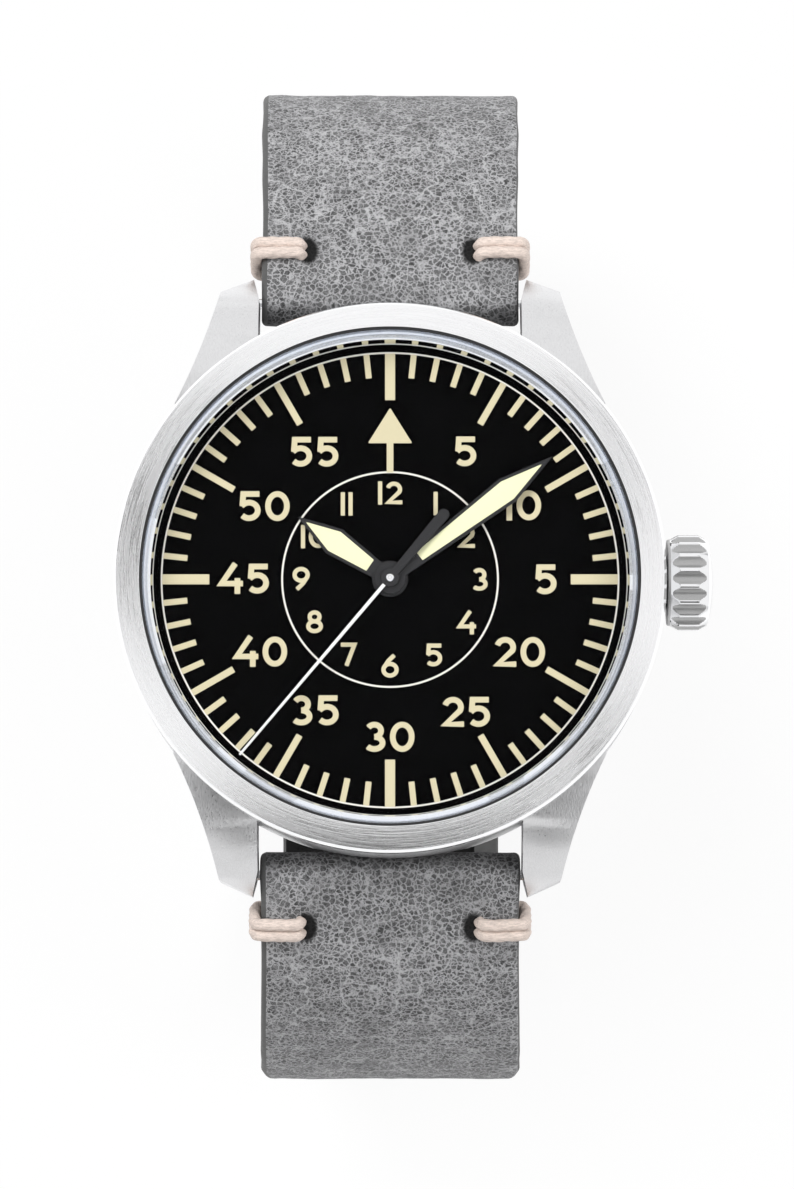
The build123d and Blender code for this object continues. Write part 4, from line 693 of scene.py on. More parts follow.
def turned(name, profile, materials, choose=None, steps=192, lift=0.0):
    """Body of revolution round Z from a closed outline of radius and height."""
    count = len(profile)
    turns = np.arange(steps) * 2 * pi / steps
    points = [(r * cos(t), r * sin(t), z + lift) for t in turns for r, z in profile]
    faces, slots = [], []
    for step in range(steps):
        here, there = step * count, (step + 1) % steps * count
        for index in range(count):
            after = (index + 1) % count
            if profile[index][0] < 1e-6 and profile[after][0] < 1e-6:
                continue
            faces.append((here + index, there + index, there + after, here + after))
            middle = [(a + b) / 2 for a, b in zip(profile[index], profile[after])]
            slots.append(choose(*middle) if choose else 0)
    return piece_of(name, points, [unique(face, points) for face in faces], materials, slots)


def unique(face, points):
    """Face without corners that fall on one point."""
    kept = []
    for corner in face:
        if all(hypot(*(a - b for a, b in zip(points[corner], points[k]))) > 1e-7 for k in kept):
            kept.append(corner)
    return tuple(kept)


def sweep(name, origins, across, normals, sections, materials, closed=False, choose=None, sharp=40):
    """Body from sections of across and normal offsets, one at each station of a path."""
    origins, across, normals = (np.asarray(a, float) for a in (origins, across, normals))
    sections = np.asarray(sections, float)
    stations, around = sections.shape[:2]
    points = (origins[:, None] + across[:, None] * sections[..., :1] + normals[:, None] * sections[..., 1:])
    faces, slots = [], []
    for station in range(stations if closed else stations - 1):
        here, there = station * around, (station + 1) % stations * around
        for index in range(around):
            after = (index + 1) % around
            faces.append((here + index, here + after, there + after, there + index))
            slots.append(choose(index, station) if choose else 0)
    if not closed:
        faces += [tuple(range(around))[::-1], tuple((stations - 1) * around + k for k in range(around))]
        slots += [slots[0] if slots else 0, slots[-1] if slots else 0]
    return piece_of(name, points.reshape(-1, 3), faces, materials, slots, sharp)


def plate(name, outlines, low, high, edge, material):
    """Flat piece between two heights, with holes where outlines lie inside another and softened edges."""
    curve = bpy.data.curves.new(name, "CURVE")
    curve.dimensions = "2D"
    curve.fill_mode = "BOTH"
    for outline in outlines:
        line = curve.splines.new("POLY")
        line.points.add(len(outline) - 1)
        for point, (x, y) in zip(line.points, outline):
            point.co = (x, y, 0, 1)
        line.use_cyclic_u = True
    curve.extrude = (high - low) / 2 - edge
    curve.bevel_depth = edge
    curve.bevel_resolution = 2
    curve.offset = -edge
    holder = bpy.data.objects.new(name + "_outline", curve)
    mesh = bpy.data.meshes.new_from_object(holder)
    points = [(v.co.x, v.co.y, v.co.z + (low + high) / 2) for v in mesh.vertices]
    faces = [tuple(p.vertices) for p in mesh.polygons]
    bpy.data.objects.remove(holder)
    bpy.data.curves.remove(curve)
    return piece_of(name, points, faces, [material], None, 30)


def resampled(loop, step):
    """Closed line with points at most about a step apart, as an array."""
    fine = []
    for index, (x, y) in enumerate(loop):
        after = loop[(index + 1) % len(loop)]
        pieces = max(1, int(hypot(after[0] - x, after[1] - y) / step))
        fine += [(x + (after[0] - x) * k / pieces, y + (after[1] - y) * k / pieces) for k in range(pieces)]
    return np.array(fine)


def ways_of(loop):
    """Unit ways along a closed line."""
    ways = np.roll(loop, -1, 0) - np.roll(loop, 1, 0)
    return ways / np.hypot(*ways.T)[:, None]


def circle(radius, steps=96, at=(0, 0)):
    """Round outline."""
    return [(at[0] + radius * cos(2 * pi * k / steps), at[1] + radius * sin(2 * pi * k / steps))
            for k in range(steps)]


def clockwise(points, turn):
    """Points turned clockwise from 12 o'clock."""
    c, s = cos(turn), sin(turn)
    return [(x * c + y * s, y * c - x * s) for x, y in points]


# Strokes of the dial's print
def arc(cx, cy, rx, ry, start, end, steps=14):
    """Points of an elliptical arc in degrees."""
    return [(cx + rx * cos(radians(start + (end - start) * k / steps)),
             cy + ry * sin(radians(start + (end - start) * k / steps))) for k in range(steps + 1)]


GLYPHS = {
    "0": (0.82, [arc(0.41, 0.5, 0.31, 0.4, 90, 450, 32)]),
    "1": (0.2, [[(0.1, 0.0), (0.1, 1.0)]]),
    "2": (0.72, [arc(0.36, 0.655, 0.26, 0.245, 165, -28) + [(0.12, 0.1), (0.72, 0.1)]]),
    "3": (0.7, [arc(0.33, 0.7, 0.22, 0.2, 150, -90), arc(0.33, 0.3, 0.27, 0.2, 90, -145)]),
    "4": (0.82, [[(0.57, 1.0), (0.12, 0.34), (0.82, 0.34)], [(0.64, 0.52), (0.64, 0.0)]]),
    "5": (0.73, [[(0.68, 0.9), (0.15, 0.9), (0.12, 0.5)], arc(0.34, 0.36, 0.29, 0.26, 148, -140)]),
    "6": (0.76, [[(0.56, 0.97), (0.3, 0.72), (0.13, 0.45)], arc(0.38, 0.35, 0.28, 0.25, 0, 360, 28)]),
    "7": (0.7, [[(0.02, 0.9), (0.6, 0.9), (0.26, 0.0)]]),
    "8": (0.74, [arc(0.37, 0.71, 0.21, 0.19, 0, 360, 28), arc(0.37, 0.31, 0.27, 0.21, 0, 360, 28)]),
    "9": (0.76, [[(0.2, 0.03), (0.46, 0.28), (0.63, 0.55)], arc(0.38, 0.65, 0.28, 0.25, 0, 360, 28)]),
}
GLYPH_GAP = 0.13
MINUTE_NUMERALS = {"5": (5.76, 9.83), "10": (10.21, 5.68), "5 ": (11.87, 0.0), "20": (9.88, -5.56),
                   "25": (5.79, -10.14), "30": (-0.04, -12.04), "35": (-5.7, -10.02), "40": (-9.88, -5.53),
                   "45": (-11.17, 0.05), "50": (-9.6, 5.62), "55": (-5.78, 9.8)}
HOUR_NUMERALS = {"12": (0.0, 6.63), "1": (3.48, 5.82), "2": (5.83, 3.28), "3": (6.84, 0.0),
                 "4": (5.82, -3.32), "5": (3.34, -5.79), "6": (0.0, -6.65), "7": (-3.16, -5.72),
                 "8": (-5.75, -3.25), "9": (-6.78, 0.08), "10": (-5.79, 3.28), "11": (-3.31, 5.79)}


def ribbon(line, width):
    """Outline of a stroke of one width along a line, with squared ends."""
    line = [Vector(p) for p in line]
    closed = (line[0] - line[-1]).length < 1e-6
    if closed:
        line = line[:-1]
    count = len(line)
    left, right = [], []
    for index, point in enumerate(line):
        before = line[index - 1] if closed or index else None
        after = line[(index + 1) % count] if closed or index < count - 1 else None
        ways = [way.normalized() for way in ((point - before) if before else None,
                                             (after - point) if after else None) if way is not None]
        middle = sum(ways, Vector((0, 0))).normalized()
        normal = Vector((-middle.y, middle.x))
        reach = width / 2 / max(0.5, middle.dot(ways[0]))
        left.append(point + normal * reach)
        right.append(point - normal * reach)
    return left, right, closed


class Print:
    """Thin raised print, gathered stroke by stroke into one mesh."""

    def __init__(self, low, thickness):
        self.low = low
        self.thickness = thickness
        self.points = []
        self.faces = []
        self.strokes = 0

    def stroke(self, line, width):
        """Add one stroke, each a hair higher than the last so that none share a face."""
        left, right, closed = ribbon(line, width)
        top = self.low + self.thickness + 0.0012 * (self.strokes % 9)
        self.strokes += 1
        start = len(self.points)
        for a, b in zip(left, right):
            self.points += [(a.x, a.y, self.low), (a.x, a.y, top), (b.x, b.y, top), (b.x, b.y, self.low)]
        count = len(left)
        for index in range(count if closed else count - 1):
            here, there = start + index * 4, start + (index + 1) % count * 4
            self.faces += [(here + k, there + k, there + k + 1, here + k + 1) for k in range(3)]
        if not closed:
            last = start + (count - 1) * 4
            self.faces += [(start, start + 1, start + 2, start + 3), (last + 3, last + 2, last + 1, last)]

    def shape(self, outline):
        """Add one filled outline."""
        start = len(self.points)
        top = self.low + self.thickness
        self.points += [(x, y, self.low) for x, y in outline] + [(x, y, top) for x, y in outline]
        count = len(outline)
        self.faces.append(tuple(start + count + k for k in range(count)))
        for k in range(count):
            after = (k + 1) % count
            self.faces.append((start + k, start + after, start + count + after, start + count + k))

    def number(self, text, centre, height, width):
        """Add a numeral of one or two figures, centred on a point."""
        text = text.strip()
        total = sum(GLYPHS[c][0] for c in text) + GLYPH_GAP * (len(text) - 1)
        x = -total / 2
        for figure in text:
            wide, lines = GLYPHS[figure]
            for line in lines:
                self.stroke([(centre[0] + (x + px) * height, centre[1] + (py - 0.5) * height)
                             for px, py in line], width)
            x += wide + GLYPH_GAP


# Strap path
def joined_arcs(start, start_way, end, end_way):
    """Two arcs that leave one point, meet and arrive at another, as centre, radius and angles."""
    start, start_way, end, end_way = (np.array(v, float) for v in (start, start_way, end, end_way))
    gap = end - start
    along = gap @ (start_way + end_way)
    spread = 2 * (1 - start_way @ end_way)
    reach = (sqrt(along ** 2 + spread * (gap @ gap)) - along) / spread
    joint = (start + end + reach * (start_way - end_way)) / 2
    middle_way = (joint - start) / reach - start_way
    arcs = []
    for point, way, last_way in ((start, start_way, middle_way), (joint, middle_way, end_way)):
        turn = acos(max(-1, min(1, way @ last_way)))
        radius = reach / tan(turn / 2)
        normal = np.array((-way[1], way[0]))
        centre = point - normal * radius
        first = atan2(normal[1], normal[0])
        arcs.append((centre, radius, first, first - turn))
    return arcs


class Path:
    """Line in the YZ plane with its outward normals."""

    def __init__(self):
        self.points = []
        self.normals = []

    def turn(self, centre, radius, first, last, step=0.35):
        """Arc round a centre whose normals point away from it."""
        count = max(6, int(abs(last - first) * radius / step))
        for a in np.linspace(first, last, count + 1):
            self.points.append((centre[0] + radius * cos(a), centre[1] + radius * sin(a)))
            self.normals.append((cos(a), sin(a)))
        return self

    def run(self, end, dip=0.0, step=0.35):
        """Run toward -Y that may sink smoothly by a depth."""
        y, z = self.points[-1]
        count = max(2, int((y - end) / step))
        for k in range(1, count + 1):
            t = k / count
            self.points.append((y + (end - y) * t, z - dip * t * t * (3 - 2 * t)))
            slope = -dip * 6 * t * (1 - t) / (end - y)
            size = hypot(1, slope)
            self.normals.append((slope / size, -1 / size))
        return self

    def cleaned(self):
        """Points, normals and distance along the line, without doubled points."""
        points = np.array(self.points)
        normals = np.array(self.normals)
        steps = np.hypot(*np.diff(points, axis=0).T)
        keep = np.concatenate(([True], steps > 1e-4))
        points, normals = points[keep], normals[keep]
        run = np.concatenate(([0], np.cumsum(np.hypot(*np.diff(points, axis=0).T))))
        return points, normals, run


def strap_line(s, fall, twelve):
    """Outer face of one half of the strap, in its own YZ plane with the lugs toward +Y."""
    bar_top, bar_low = high_of("spring_bar_12", 2), low_of("spring_bar_12", 2)
    bar = (high_of("spring_bar_12", 1) - BAR_RADIUS, (bar_top + bar_low) / 2)
    top = pi / 2 - fall
    line = Path().turn(bar, s.roll, ROLL_START, top, 0.2)
    start = (bar[0] + s.roll * cos(top), bar[1] + s.roll * sin(top))
    flat, reach = (s.flat_12, s.reach_12) if twelve else (s.flat_6, s.reach_6)
    for centre, radius, first, last in joined_arcs(start, (cos(fall), -sin(fall)), (reach, flat + s.corner),
                                                   (0, -1)):
        line.turn(centre, radius, first, last)
    line.turn((reach - s.corner, flat + s.corner), s.corner, 0, -pi / 2)
    if twelve:
        line.run(BUCKLE_BAR_Y)
        line.turn((BUCKLE_BAR_Y, flat + BUCKLE_ROLL), BUCKLE_ROLL, -pi / 2, -BUCKLE_ROLL_END, 0.15)
    else:
        line.run(DIP_START)
        line.run(DIP_END, DIP)
        tail = s.corner - s.reach_12
        line.run(tail)
        outer = s.corner + TAIL_GAP + s.thickness
        line.turn((tail, s.flat_12 + s.corner), outer, -pi / 2, -TAIL_END)
    return line.cleaned()


def smooth_noise(seed, u, v, cell):
    """Seeded value noise between -1 and 1 on a plane."""
    random = np.random.default_rng(seed)
    grid = random.uniform(-1, 1, (NOISE_CELLS, NOISE_CELLS))
    x, y = u / cell, v / cell
    i, j = np.floor(x).astype(int), np.floor(y).astype(int)
    fx, fy = x - i, y - j
    fx, fy = fx * fx * (3 - 2 * fx), fy * fy * (3 - 2 * fy)
    corners = [grid[(i + a) % NOISE_CELLS, (j + b) % NOISE_CELLS] for a in (0, 1) for b in (0, 1)]
    near, far = corners[0] * (1 - fy) + corners[1] * fy, corners[2] * (1 - fy) + corners[3] * fy
    return near * (1 - fx) + far * fx


def strap_width(z):
    """Width of the strap at a height."""
    return np.interp(z, STRAP_HEIGHTS, STRAP_WIDTHS)


def strap_layer(name, line, side, outer, inner, narrowing, edge, materials, point_length=0.0, first=0.0):
    """One layer of a strap half between two depths under the outer face."""
    points, normals, run = line
    keep = run >= first
    points, normals, run = points[keep], normals[keep], run[keep] - first
    count = len(run)
    half = strap_width(points[:, 1]) / 2 - narrowing
    if point_length:
        left = np.clip((run[-1] - run) / point_length, 0, 1)
        half = half * np.sqrt(np.clip(1 - (1 - left) ** 2.4, 0.0004, 1))
    outer = outer(run) if callable(outer) else np.full(count, outer)
    inner = inner(run) if callable(inner) else np.full(count, inner)
    across = np.linspace(-1, 1, FACE_POINTS)
    arc_steps = np.linspace(0, pi / 2, 5)[1:]
    sections = []
    grain_seed = len(name)
    for i in range(count):
        h, top, low = half[i], -outer[i], -inner[i]
        e = min(edge, (top - low) / 2.2, h * 0.4)
        xs = across * (h - e)
        bumps = (0.05 * smooth_noise(grain_seed, xs, np.full(FACE_POINTS, run[i]), 2.3)
                 + 0.025 * smooth_noise(grain_seed + 9, xs, np.full(FACE_POINTS, run[i]), 0.8))
        wave = 0.03 * smooth_noise(grain_seed + 3, np.array([run[i]]), np.array([0.0]), 3.1)[0]
        face = np.stack((xs, top + bumps - 0.05), 1)
        corner = [(h - e + e * sin(a) + wave * a, top - 0.05 + bumps[-1] * 0.5 - e + e * cos(a))
                  for a in arc_steps]
        low_face = [(x, low) for x in across[::-6] * (h - e * 0.6)]
        other = [(-x, n) for x, n in corner[::-1]]
        sections.append(np.concatenate((face, corner, [(h + wave, low + e * 0.6)], low_face,
                                        [(-h - wave, low + e * 0.6)], other)))
    origins = np.stack((np.zeros(count), side * points[:, 0], points[:, 1]), 1)
    outward = np.stack((np.zeros(count), side * normals[:, 0], normals[:, 1]), 1)
    sideways = np.tile((1.0, 0.0, 0.0), (count, 1))

    def choose(index, station):
        on_side = FACE_POINTS < index <= FACE_POINTS + 5 or index >= len(sections[0]) - 6
        return 1 if on_side and len(materials) > 1 else 0

    return sweep(name, origins, sideways, outward, sections, materials, False, choose, 50)


# Operators, one for each piece or group of like pieces
class WATCH_OT_bezel(bpy.types.Operator):
    """Bezel with a round-brushed slope and a narrow polished bevel"""
    bl_idname = "watch.bezel"
    bl_label = "Bezel"

    def execute(self, context):
        s = millimetres(context.scene.watch.case)
        low, top = low_of("bezel", 2), high_of("bezel", 2)
        outline = rounded([(s.bore, low, 0.02), (s.radius, low, 0.05), (s.radius, low + s.wall, 0.06),
                           (s.radius - s.bevel, top - s.slope, 0.06), (s.bore, top, 0.05)], 0.05)

        def choose(r, z):
            return 0 if z > top - s.slope - 0.02 and r > s.bore + 0.03 else 1

        piece = turned("bezel_ring", outline, [bezel_steel(), polished_steel()], choose, 256)
        settle(piece, "case", ["bezel"])
        return {"FINISHED"}


class WATCH_OT_crystal(bpy.types.Operator):
    """Flat sapphire with a polished bevel, its press ring and the mirror ring under it"""
    bl_idname = "watch.crystal"
    bl_label = "Crystal"

    def execute(self, context):
        s = millimetres(context.scene.watch.case)
        low, top = low_of("crystal", 2), high_of("crystal", 2)
        radius = high_of("crystal", 1)
        outline = [(0, low), *rounded([(radius, low), (radius, top - s.crystal_bevel),
                                       (radius - s.crystal_bevel, top)], 0.04, 3, False), (0, top)]

        def choose(r, z):
            return 1 if r > radius - s.crystal_bevel - 0.03 else 0

        piece = turned("crystal_disc", outline, [sapphire(), sapphire_edge()], choose)
        settle(piece, "case", ["crystal"])
        ring_low, ring_top = low_of("crystal_gasket", 2), high_of("crystal_gasket", 2) - 0.06
        seal = turned("crystal_seal", rounded([(radius + 0.02, ring_low), (s.bore - 0.02, ring_low),
                                               (s.bore - 0.02, ring_top), (radius + 0.02, ring_top)], 0.05),
                      [rubber()])
        settle(seal, "case", ["crystal_gasket"])
        foot, crest = low_of("mirror_ring", 2), high_of("mirror_ring", 2)
        wall = turned("mirror_wall", rounded([(s.ring_foot, foot, 0.03), (s.bore - 0.03, foot),
                                              (s.bore - 0.03, crest), (s.ring_top, crest, 0.03)], 0.03),
                      [mirror_steel()], None, 256)
        settle(wall, "case", ["mirror_ring"])
        return {"FINISHED"}


class WATCH_OT_dial(bpy.types.Operator):
    """Black dial with its printed circles, ticks, arrow and numerals"""
    bl_idname = "watch.dial"
    bl_label = "Dial"

    def execute(self, context):
        s = millimetres(context.scene.watch.dial)
        low, top = low_of("dial", 2), high_of("dial", 2)
        radius = high_of("dial", 0)
        disc = turned("dial_disc", rounded([(1.1, low), (radius, low), (radius, top), (1.1, top)], 0.03),
                      [dial_black()])
        settle(disc, "case", ["dial"])
        lines = Print(top, s.print_height)
        for circle_radius, width in ((s.outer_circle, s.line), (s.inner_circle, s.line * 1.1)):
            ring = circle(circle_radius, 240)
            lines.stroke(ring + ring[:1], width)
        piece = piece_of("dial_circles", lines.points, lines.faces, [line_paint()])
        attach(piece, "case")
        marks = Print(top, s.print_height + 0.006)
        for minute in range(60):
            turn = radians(minute * 6)
            if minute % 15 == 0:
                end, width = s.five_end + 0.02, s.quarter
            elif minute % 5 == 0:
                end, width = s.five_end, s.tick * 1.12
            else:
                end, width = s.minute_end, s.tick
            marks.stroke(clockwise([(0, s.outer_circle - 0.05), (0, end)], turn), width)
        half = s.arrow_width / 2
        marks.shape(rounded([(0, s.arrow_tip), (-half, s.arrow_base), (half, s.arrow_base)], 0.08))
        marks.stroke([(0, s.arrow_base + 0.1), (0, s.inner_circle - 0.03)], s.stem)
        for text, centre in MINUTE_NUMERALS.items():
            marks.number(text, centre, s.large, s.large * 0.185)
        for text, centre in HOUR_NUMERALS.items():
            marks.number(text, centre, s.small, s.small * 0.178)
        piece = piece_of("dial_marks", marks.points, marks.faces, [print_paint()])
        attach(piece, "case")
        return {"FINISHED"}


def lance(size, inset, start):
    """Lance-shaped outline from a distance off the axis to its point, drawn in by an inset."""
    long, width, widest, neck = size
    slope = (width - neck) / 2 / widest
    taper = width / 2 / (long - widest)
    half_start = neck / 2 + slope * start - inset
    half_widest = width / 2 - inset
    return [(half_start, start), (half_widest, widest), (0, long - inset / taper), (-half_widest, widest),
            (-half_start, start)]


def hand_outline(size, hub):
    """Lance joined to a round hub."""
    _, width, widest, neck = size
    slope = (width - neck) / 2 / widest
    a, b, c = 1 + slope ** 2, neck * slope, neck ** 2 / 4 - hub ** 2
    y = (-b + sqrt(b * b - 4 * a * c)) / 2 / a
    upper = lance(size, 0, y)
    left = atan2(y, upper[-1][0])
    right = atan2(y, upper[0][0]) + 2 * pi
    around = [(hub * cos(left + (right - left) * k / 48), hub * sin(left + (right - left) * k / 48))
              for k in range(1, 48)]
    return rounded([(x, y, 0.03) for x, y in upper] + [(x, y, 0) for x, y in around], 0.0, 2)


class WATCH_OT_hands(bpy.types.Operator):
    """Hour and minute hands with luminous fillings, and the seconds hand with its paddle tail"""
    bl_idname = "watch.hands"
    bl_label = "Hands"

    def execute(self, context):
        group = context.scene.watch.hands
        s = millimetres(group)
        sizes = {
            "hour": ((s.hour_length, s.hour_width, s.hour_widest, 1.1), 1.38, 0.64, 1.83, group.hour_turn),
            "minute": ((s.minute_length, s.minute_width, s.minute_widest, 1.0), 1.2, 0.6, 2.8,
                       group.minute_turn)}
        for name, (size, hub, bore, start, turn) in sizes.items():
            node = name + "_hand"
            low, top = low_of(node, 2), high_of(node, 2)
            slot = lance(size, s.rim, start)
            outlines = [clockwise(line, turn) for line in (hand_outline(size, hub), circle(bore, 40),
                                                           rounded(slot, 0.05, 2))]
            piece = plate(node + "_frame", outlines, low, top, 0.035, hand_grey())
            settle(piece, name + "_group", [node])
            filling = plate(node + "_glow", [clockwise(rounded(slot, 0.05, 2), turn)], low + 0.02,
                            top - 0.025, 0.015, glow_paint())
            settle(filling, name + "_group", [node + "_lume"])
        low = low_of("seconds_hand", 2)
        top = low + 0.2
        turn = group.seconds_turn
        round_y = s.tail_length - s.tail_width / 2
        half = s.tail_width / 2
        tail = ([(0.3, -0.55), (half, -round_y)]
                + [(half * cos(a), -round_y + half * sin(a)) for a in np.linspace(0, -pi, 13)[1:-1]]
                + [(-half, -round_y), (-0.3, -0.55)])
        hub = [(0.7 * cos(a), 0.7 * sin(a)) for a in np.linspace(radians(230), radians(-50), 40)]
        piece = plate("seconds_hand_tail", [clockwise(tail + hub, turn)], low, top, 0.03, hand_grey())
        settle(piece, "seconds_group", ["seconds_hand"])
        needle = [(0.14, 0.68), (0.09, s.seconds_length - 0.05), (0, s.seconds_length),
                  (-0.09, s.seconds_length - 0.05), (-0.14, 0.68)]
        piece = plate("seconds_hand_needle", [clockwise(needle, turn)], low + 0.02, top - 0.01, 0.03,
                      needle_white())
        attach(piece, "seconds_group")
        outline = [(0, low), (0.3, low), (0.3, top + 0.08), (0.26, top + 0.12), (0.16, top + 0.12),
                   (0.12, top + 0.07), (0, top + 0.07)]
        cap = turned("seconds_hand_cap", outline, [polished_steel()], None, 48)
        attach(cap, "seconds_group")
        return {"FINISHED"}


class WATCH_OT_crown(bpy.types.Operator):
    """Crown with hollow flutes, polished ridges and a domed end"""
    bl_idname = "watch.crown"
    bl_label = "Crown"

    def execute(self, context):
        group = context.scene.watch.crown
        s = millimetres(group)
        start, end = low_of("crown", 0), high_of("crown", 0)
        height = (low_of("crown", 2) + high_of("crown", 2)) / 2
        first, last = start + s.flute_start, start + s.flute_end
        dome = [(end - 0.38 * (k / 8) ** 2, s.cap * 0.97 * k / 8) for k in range(8, -1, -1)]
        profile = [(start + 2.3, 0.0), (start + 2.3, s.bore), (start + 0.05, s.bore), (start, s.bore + 0.06),
                   (start, s.base - 0.06), (start + 0.06, s.base), (first - 0.04, s.base),
                   (first, s.base + 0.02)]
        rise = s.radius - s.base
        fluted = [(first + s.bevel * k / 10, s.base + rise * k / 10) for k in range(1, 11)]
        fluted += [(first + s.bevel + (last - first - 2 * s.bevel) * k / 4, s.radius) for k in range(1, 4)]
        fluted += [(last - s.bevel * (1 - k / 10), s.radius - rise * k / 10) for k in range(11)]
        profile += fluted + [(last, s.cap + 0.02), (last + 0.03, s.cap)] + dome
        fluted_first, fluted_last = 7, 7 + len(fluted)
        steps = CROWN_FLUTES * FLUTE_SAMPLES

        def flute_share(step):
            """How far a place is from a flute's middle, where 1 is its edge."""
            return abs(step % FLUTE_SAMPLES / FLUTE_SAMPLES - 0.5) / (0.5 - group.land / 2)

        points, faces, slots = [], [], []
        for step in range(steps):
            turn = 2 * pi * step / steps
            share = flute_share(step)
            hollow = s.depth * max(0.0, 1 - share * share)
            for x, r in profile:
                own = min(r, s.radius - hollow) if r > s.cap + 0.01 else r
                points.append((x, own * cos(turn), height + own * sin(turn)))
        count = len(profile)
        for step in range(steps):
            here, there = step * count, (step + 1) % steps * count
            share = flute_share(step + 0.5)
            hollow = s.radius - s.depth * (1 - share * share)
            for index in range(count - 1):
                face = unique((here + index, here + index + 1, there + index + 1, there + index), points)
                if len(face) > 2:
                    faces.append(face)
                    middle = (profile[index][1] + profile[index + 1][1]) / 2
                    cut = fluted_first < index < fluted_last and share < 1 and middle > hollow
                    slots.append(1 if cut or index < fluted_first else 0)
        piece = piece_of("crown_body", points, faces, [polished_steel(), crown_matt()], slots, 28)
        settle(piece, "crown_slider", ["crown"])
        return {"FINISHED"}


def prism(outline, low, high, material):
    """Upright block of an outline between two heights, for cutting."""
    count = len(outline)
    points = [(x, y, z) for z in (low, high) for x, y in outline]
    faces = [tuple(reversed(range(count))), tuple(range(count, 2 * count))]
    faces += [(k, (k + 1) % count, count + (k + 1) % count, count + k) for k in range(count)]
    return piece_of("cut", points, faces, [material], None, 30)


def strap_cuts(s, name):
    """Cutters of one half: its tongue slot, or the long hole and the four punched holes."""
    half = s.slot / 2
    back, front, low, high = TONGUE_SLOT if name == "12" else LONG_HOLE
    made = [prism([(-half, back), (half, back), (half, front), (-half, front)], low, high, leather_edge())]
    if name == "6":
        made += [prism(circle(s.hole, 40, (0, s.hole_place + s.hole_pitch * k)), PUNCH_LOW, PUNCH_HIGH,
                       leather_edge()) for k in range(PUNCHED_HOLES)]
    return made


def volume_of(mesh):
    """Room that a closed mesh takes up."""
    shape = bmesh.new()
    shape.from_mesh(mesh)
    volume = shape.calc_volume()
    shape.free()
    return volume


def punch(piece, cutters):
    """Cut openings into a piece."""
    for cutter in cutters:
        cut = piece.modifiers.new("Cut", "BOOLEAN")
        cut.operation = "DIFFERENCE"
        cut.solver = "EXACT"
        cut.material_mode = "TRANSFER"
        cut.object = cutter
    bpy.context.view_layer.update()
    mesh = bpy.data.meshes.new_from_object(piece.evaluated_get(bpy.context.evaluated_depsgraph_get()))
    if not 0.9 < volume_of(mesh) / volume_of(piece.data) < 0.999:
        raise RuntimeError("the openings of " + piece.name + " were not cut")
    piece.modifiers.clear()
    piece.data = mesh
    mesh.set_sharp_from_angle(angle=radians(50))


class WATCH_OT_strap(bpy.types.Operator):
    """Both halves of the leather strap with their linings"""
    bl_idname = "watch.strap"
    bl_label = "Strap"

    def execute(self, context):
        group = context.scene.watch.strap
        s = millimetres(group)
        body = s.thickness - s.lining
        top_run = top_of_roll(s, group.fall)
        for name, side, twelve in (("12", 1, True), ("6", -1, False)):
            line = strap_line(s, group.fall, twelve)
            run = line[2]
            end = run[-1]
            blunt = 0.0 if twelve else TAIL_POINT

            def inner(run, twelve=twelve, end=end):
                depth = np.interp(run, (top_run - 0.6, top_run + 1.6), (1.0, body))
                if twelve:
                    depth = np.interp(end - run, (4.8, 7.0), (0.8, 10.0)).clip(0, depth)
                return depth

            leather_piece = strap_layer("strap_" + name + "_upper", line, side, 0.0, inner, 0.0, 0.42,
                                        [leather(), leather_edge()], blunt)
            cutters = strap_cuts(s, name)
            punch(leather_piece, cutters)
            settle(leather_piece, "case", ["strap_" + name + "_leather"])
            cut = 6.5 if twelve else 0.0
            short = tuple(part[run <= end - cut] for part in line)
            lining_piece = strap_layer("strap_" + name + "_inside", short, side, body + 0.02, s.thickness,
                                       0.12, 0.25, [lining(), leather_edge()], blunt, top_run + 1.9)
            if not twelve:
                punch(lining_piece, cutters)
            for cutter in cutters:
                bpy.data.objects.remove(cutter)
            settle(lining_piece, "case", ["strap_" + name + "_lining"])
        return {"FINISHED"}


class WATCH_OT_stitches(bpy.types.Operator):
    """Four stitches of two twisted waxed threads round the strap's edges"""
    bl_idname = "watch.stitches"
    bl_label = "Stitches"

    def execute(self, context):
        s = millimetres(context.scene.watch.strap)
        for name, side, (origin, normal) in zip(("12", "6"), (1, -1), stitch_places()):
            along = np.cross((1.0, 0.0, 0.0), normal)
            under = -s.thickness - STITCH_LIFT
            loop = rounded([(s.stitch_hole, under), (s.stitch_hole, STITCH_LIFT), (STITCH_OUTER, STITCH_LIFT),
                            (STITCH_OUTER, under)], 0.62, 8)
            fine = resampled(loop, STITCH_STEP)
            ways = ways_of(fine)
            total = len(fine)
            for hand in (1, -1):
                for lane in (-STITCH_LANE, STITCH_LANE):
                    seed = int(20 + hand * 3 + lane * 2 + side * 5)
                    sway = 0.05 * smooth_noise(seed, np.arange(total) * STITCH_STEP, np.zeros(total), 1.4)
                    origins = (origin + np.outer(fine[:, 0] * hand, (1, 0, 0)) + np.outer(fine[:, 1], normal)
                               + np.outer(lane + sway, along))
                    across = np.outer(-ways[:, 1] * hand, (1, 0, 0)) + np.outer(ways[:, 0], normal)
                    turns = round(total * STITCH_STEP / TWIST_LENGTH)
                    around = np.linspace(0, 2 * pi, 25)[:-1]
                    sections = []
                    for index in range(total):
                        twist = 2 * pi * turns * index / total
                        radius = s.strand * (0.95 + 0.05 * np.cos(4 * (around - twist)))
                        sections.append(np.stack((radius * np.cos(around), radius * np.sin(around)), 1))
                    ends = ("crown" if hand > 0 else "left", "a" if lane < 0 else "b")
                    label = "_".join(("stitch", name, *ends))
                    piece = sweep(label, origins, across, np.tile(along, (total, 1)), sections, [thread()],
                                  True, None, 60)
                    settle(piece, "case", ["stitches_" + name])
        return {"FINISHED"}


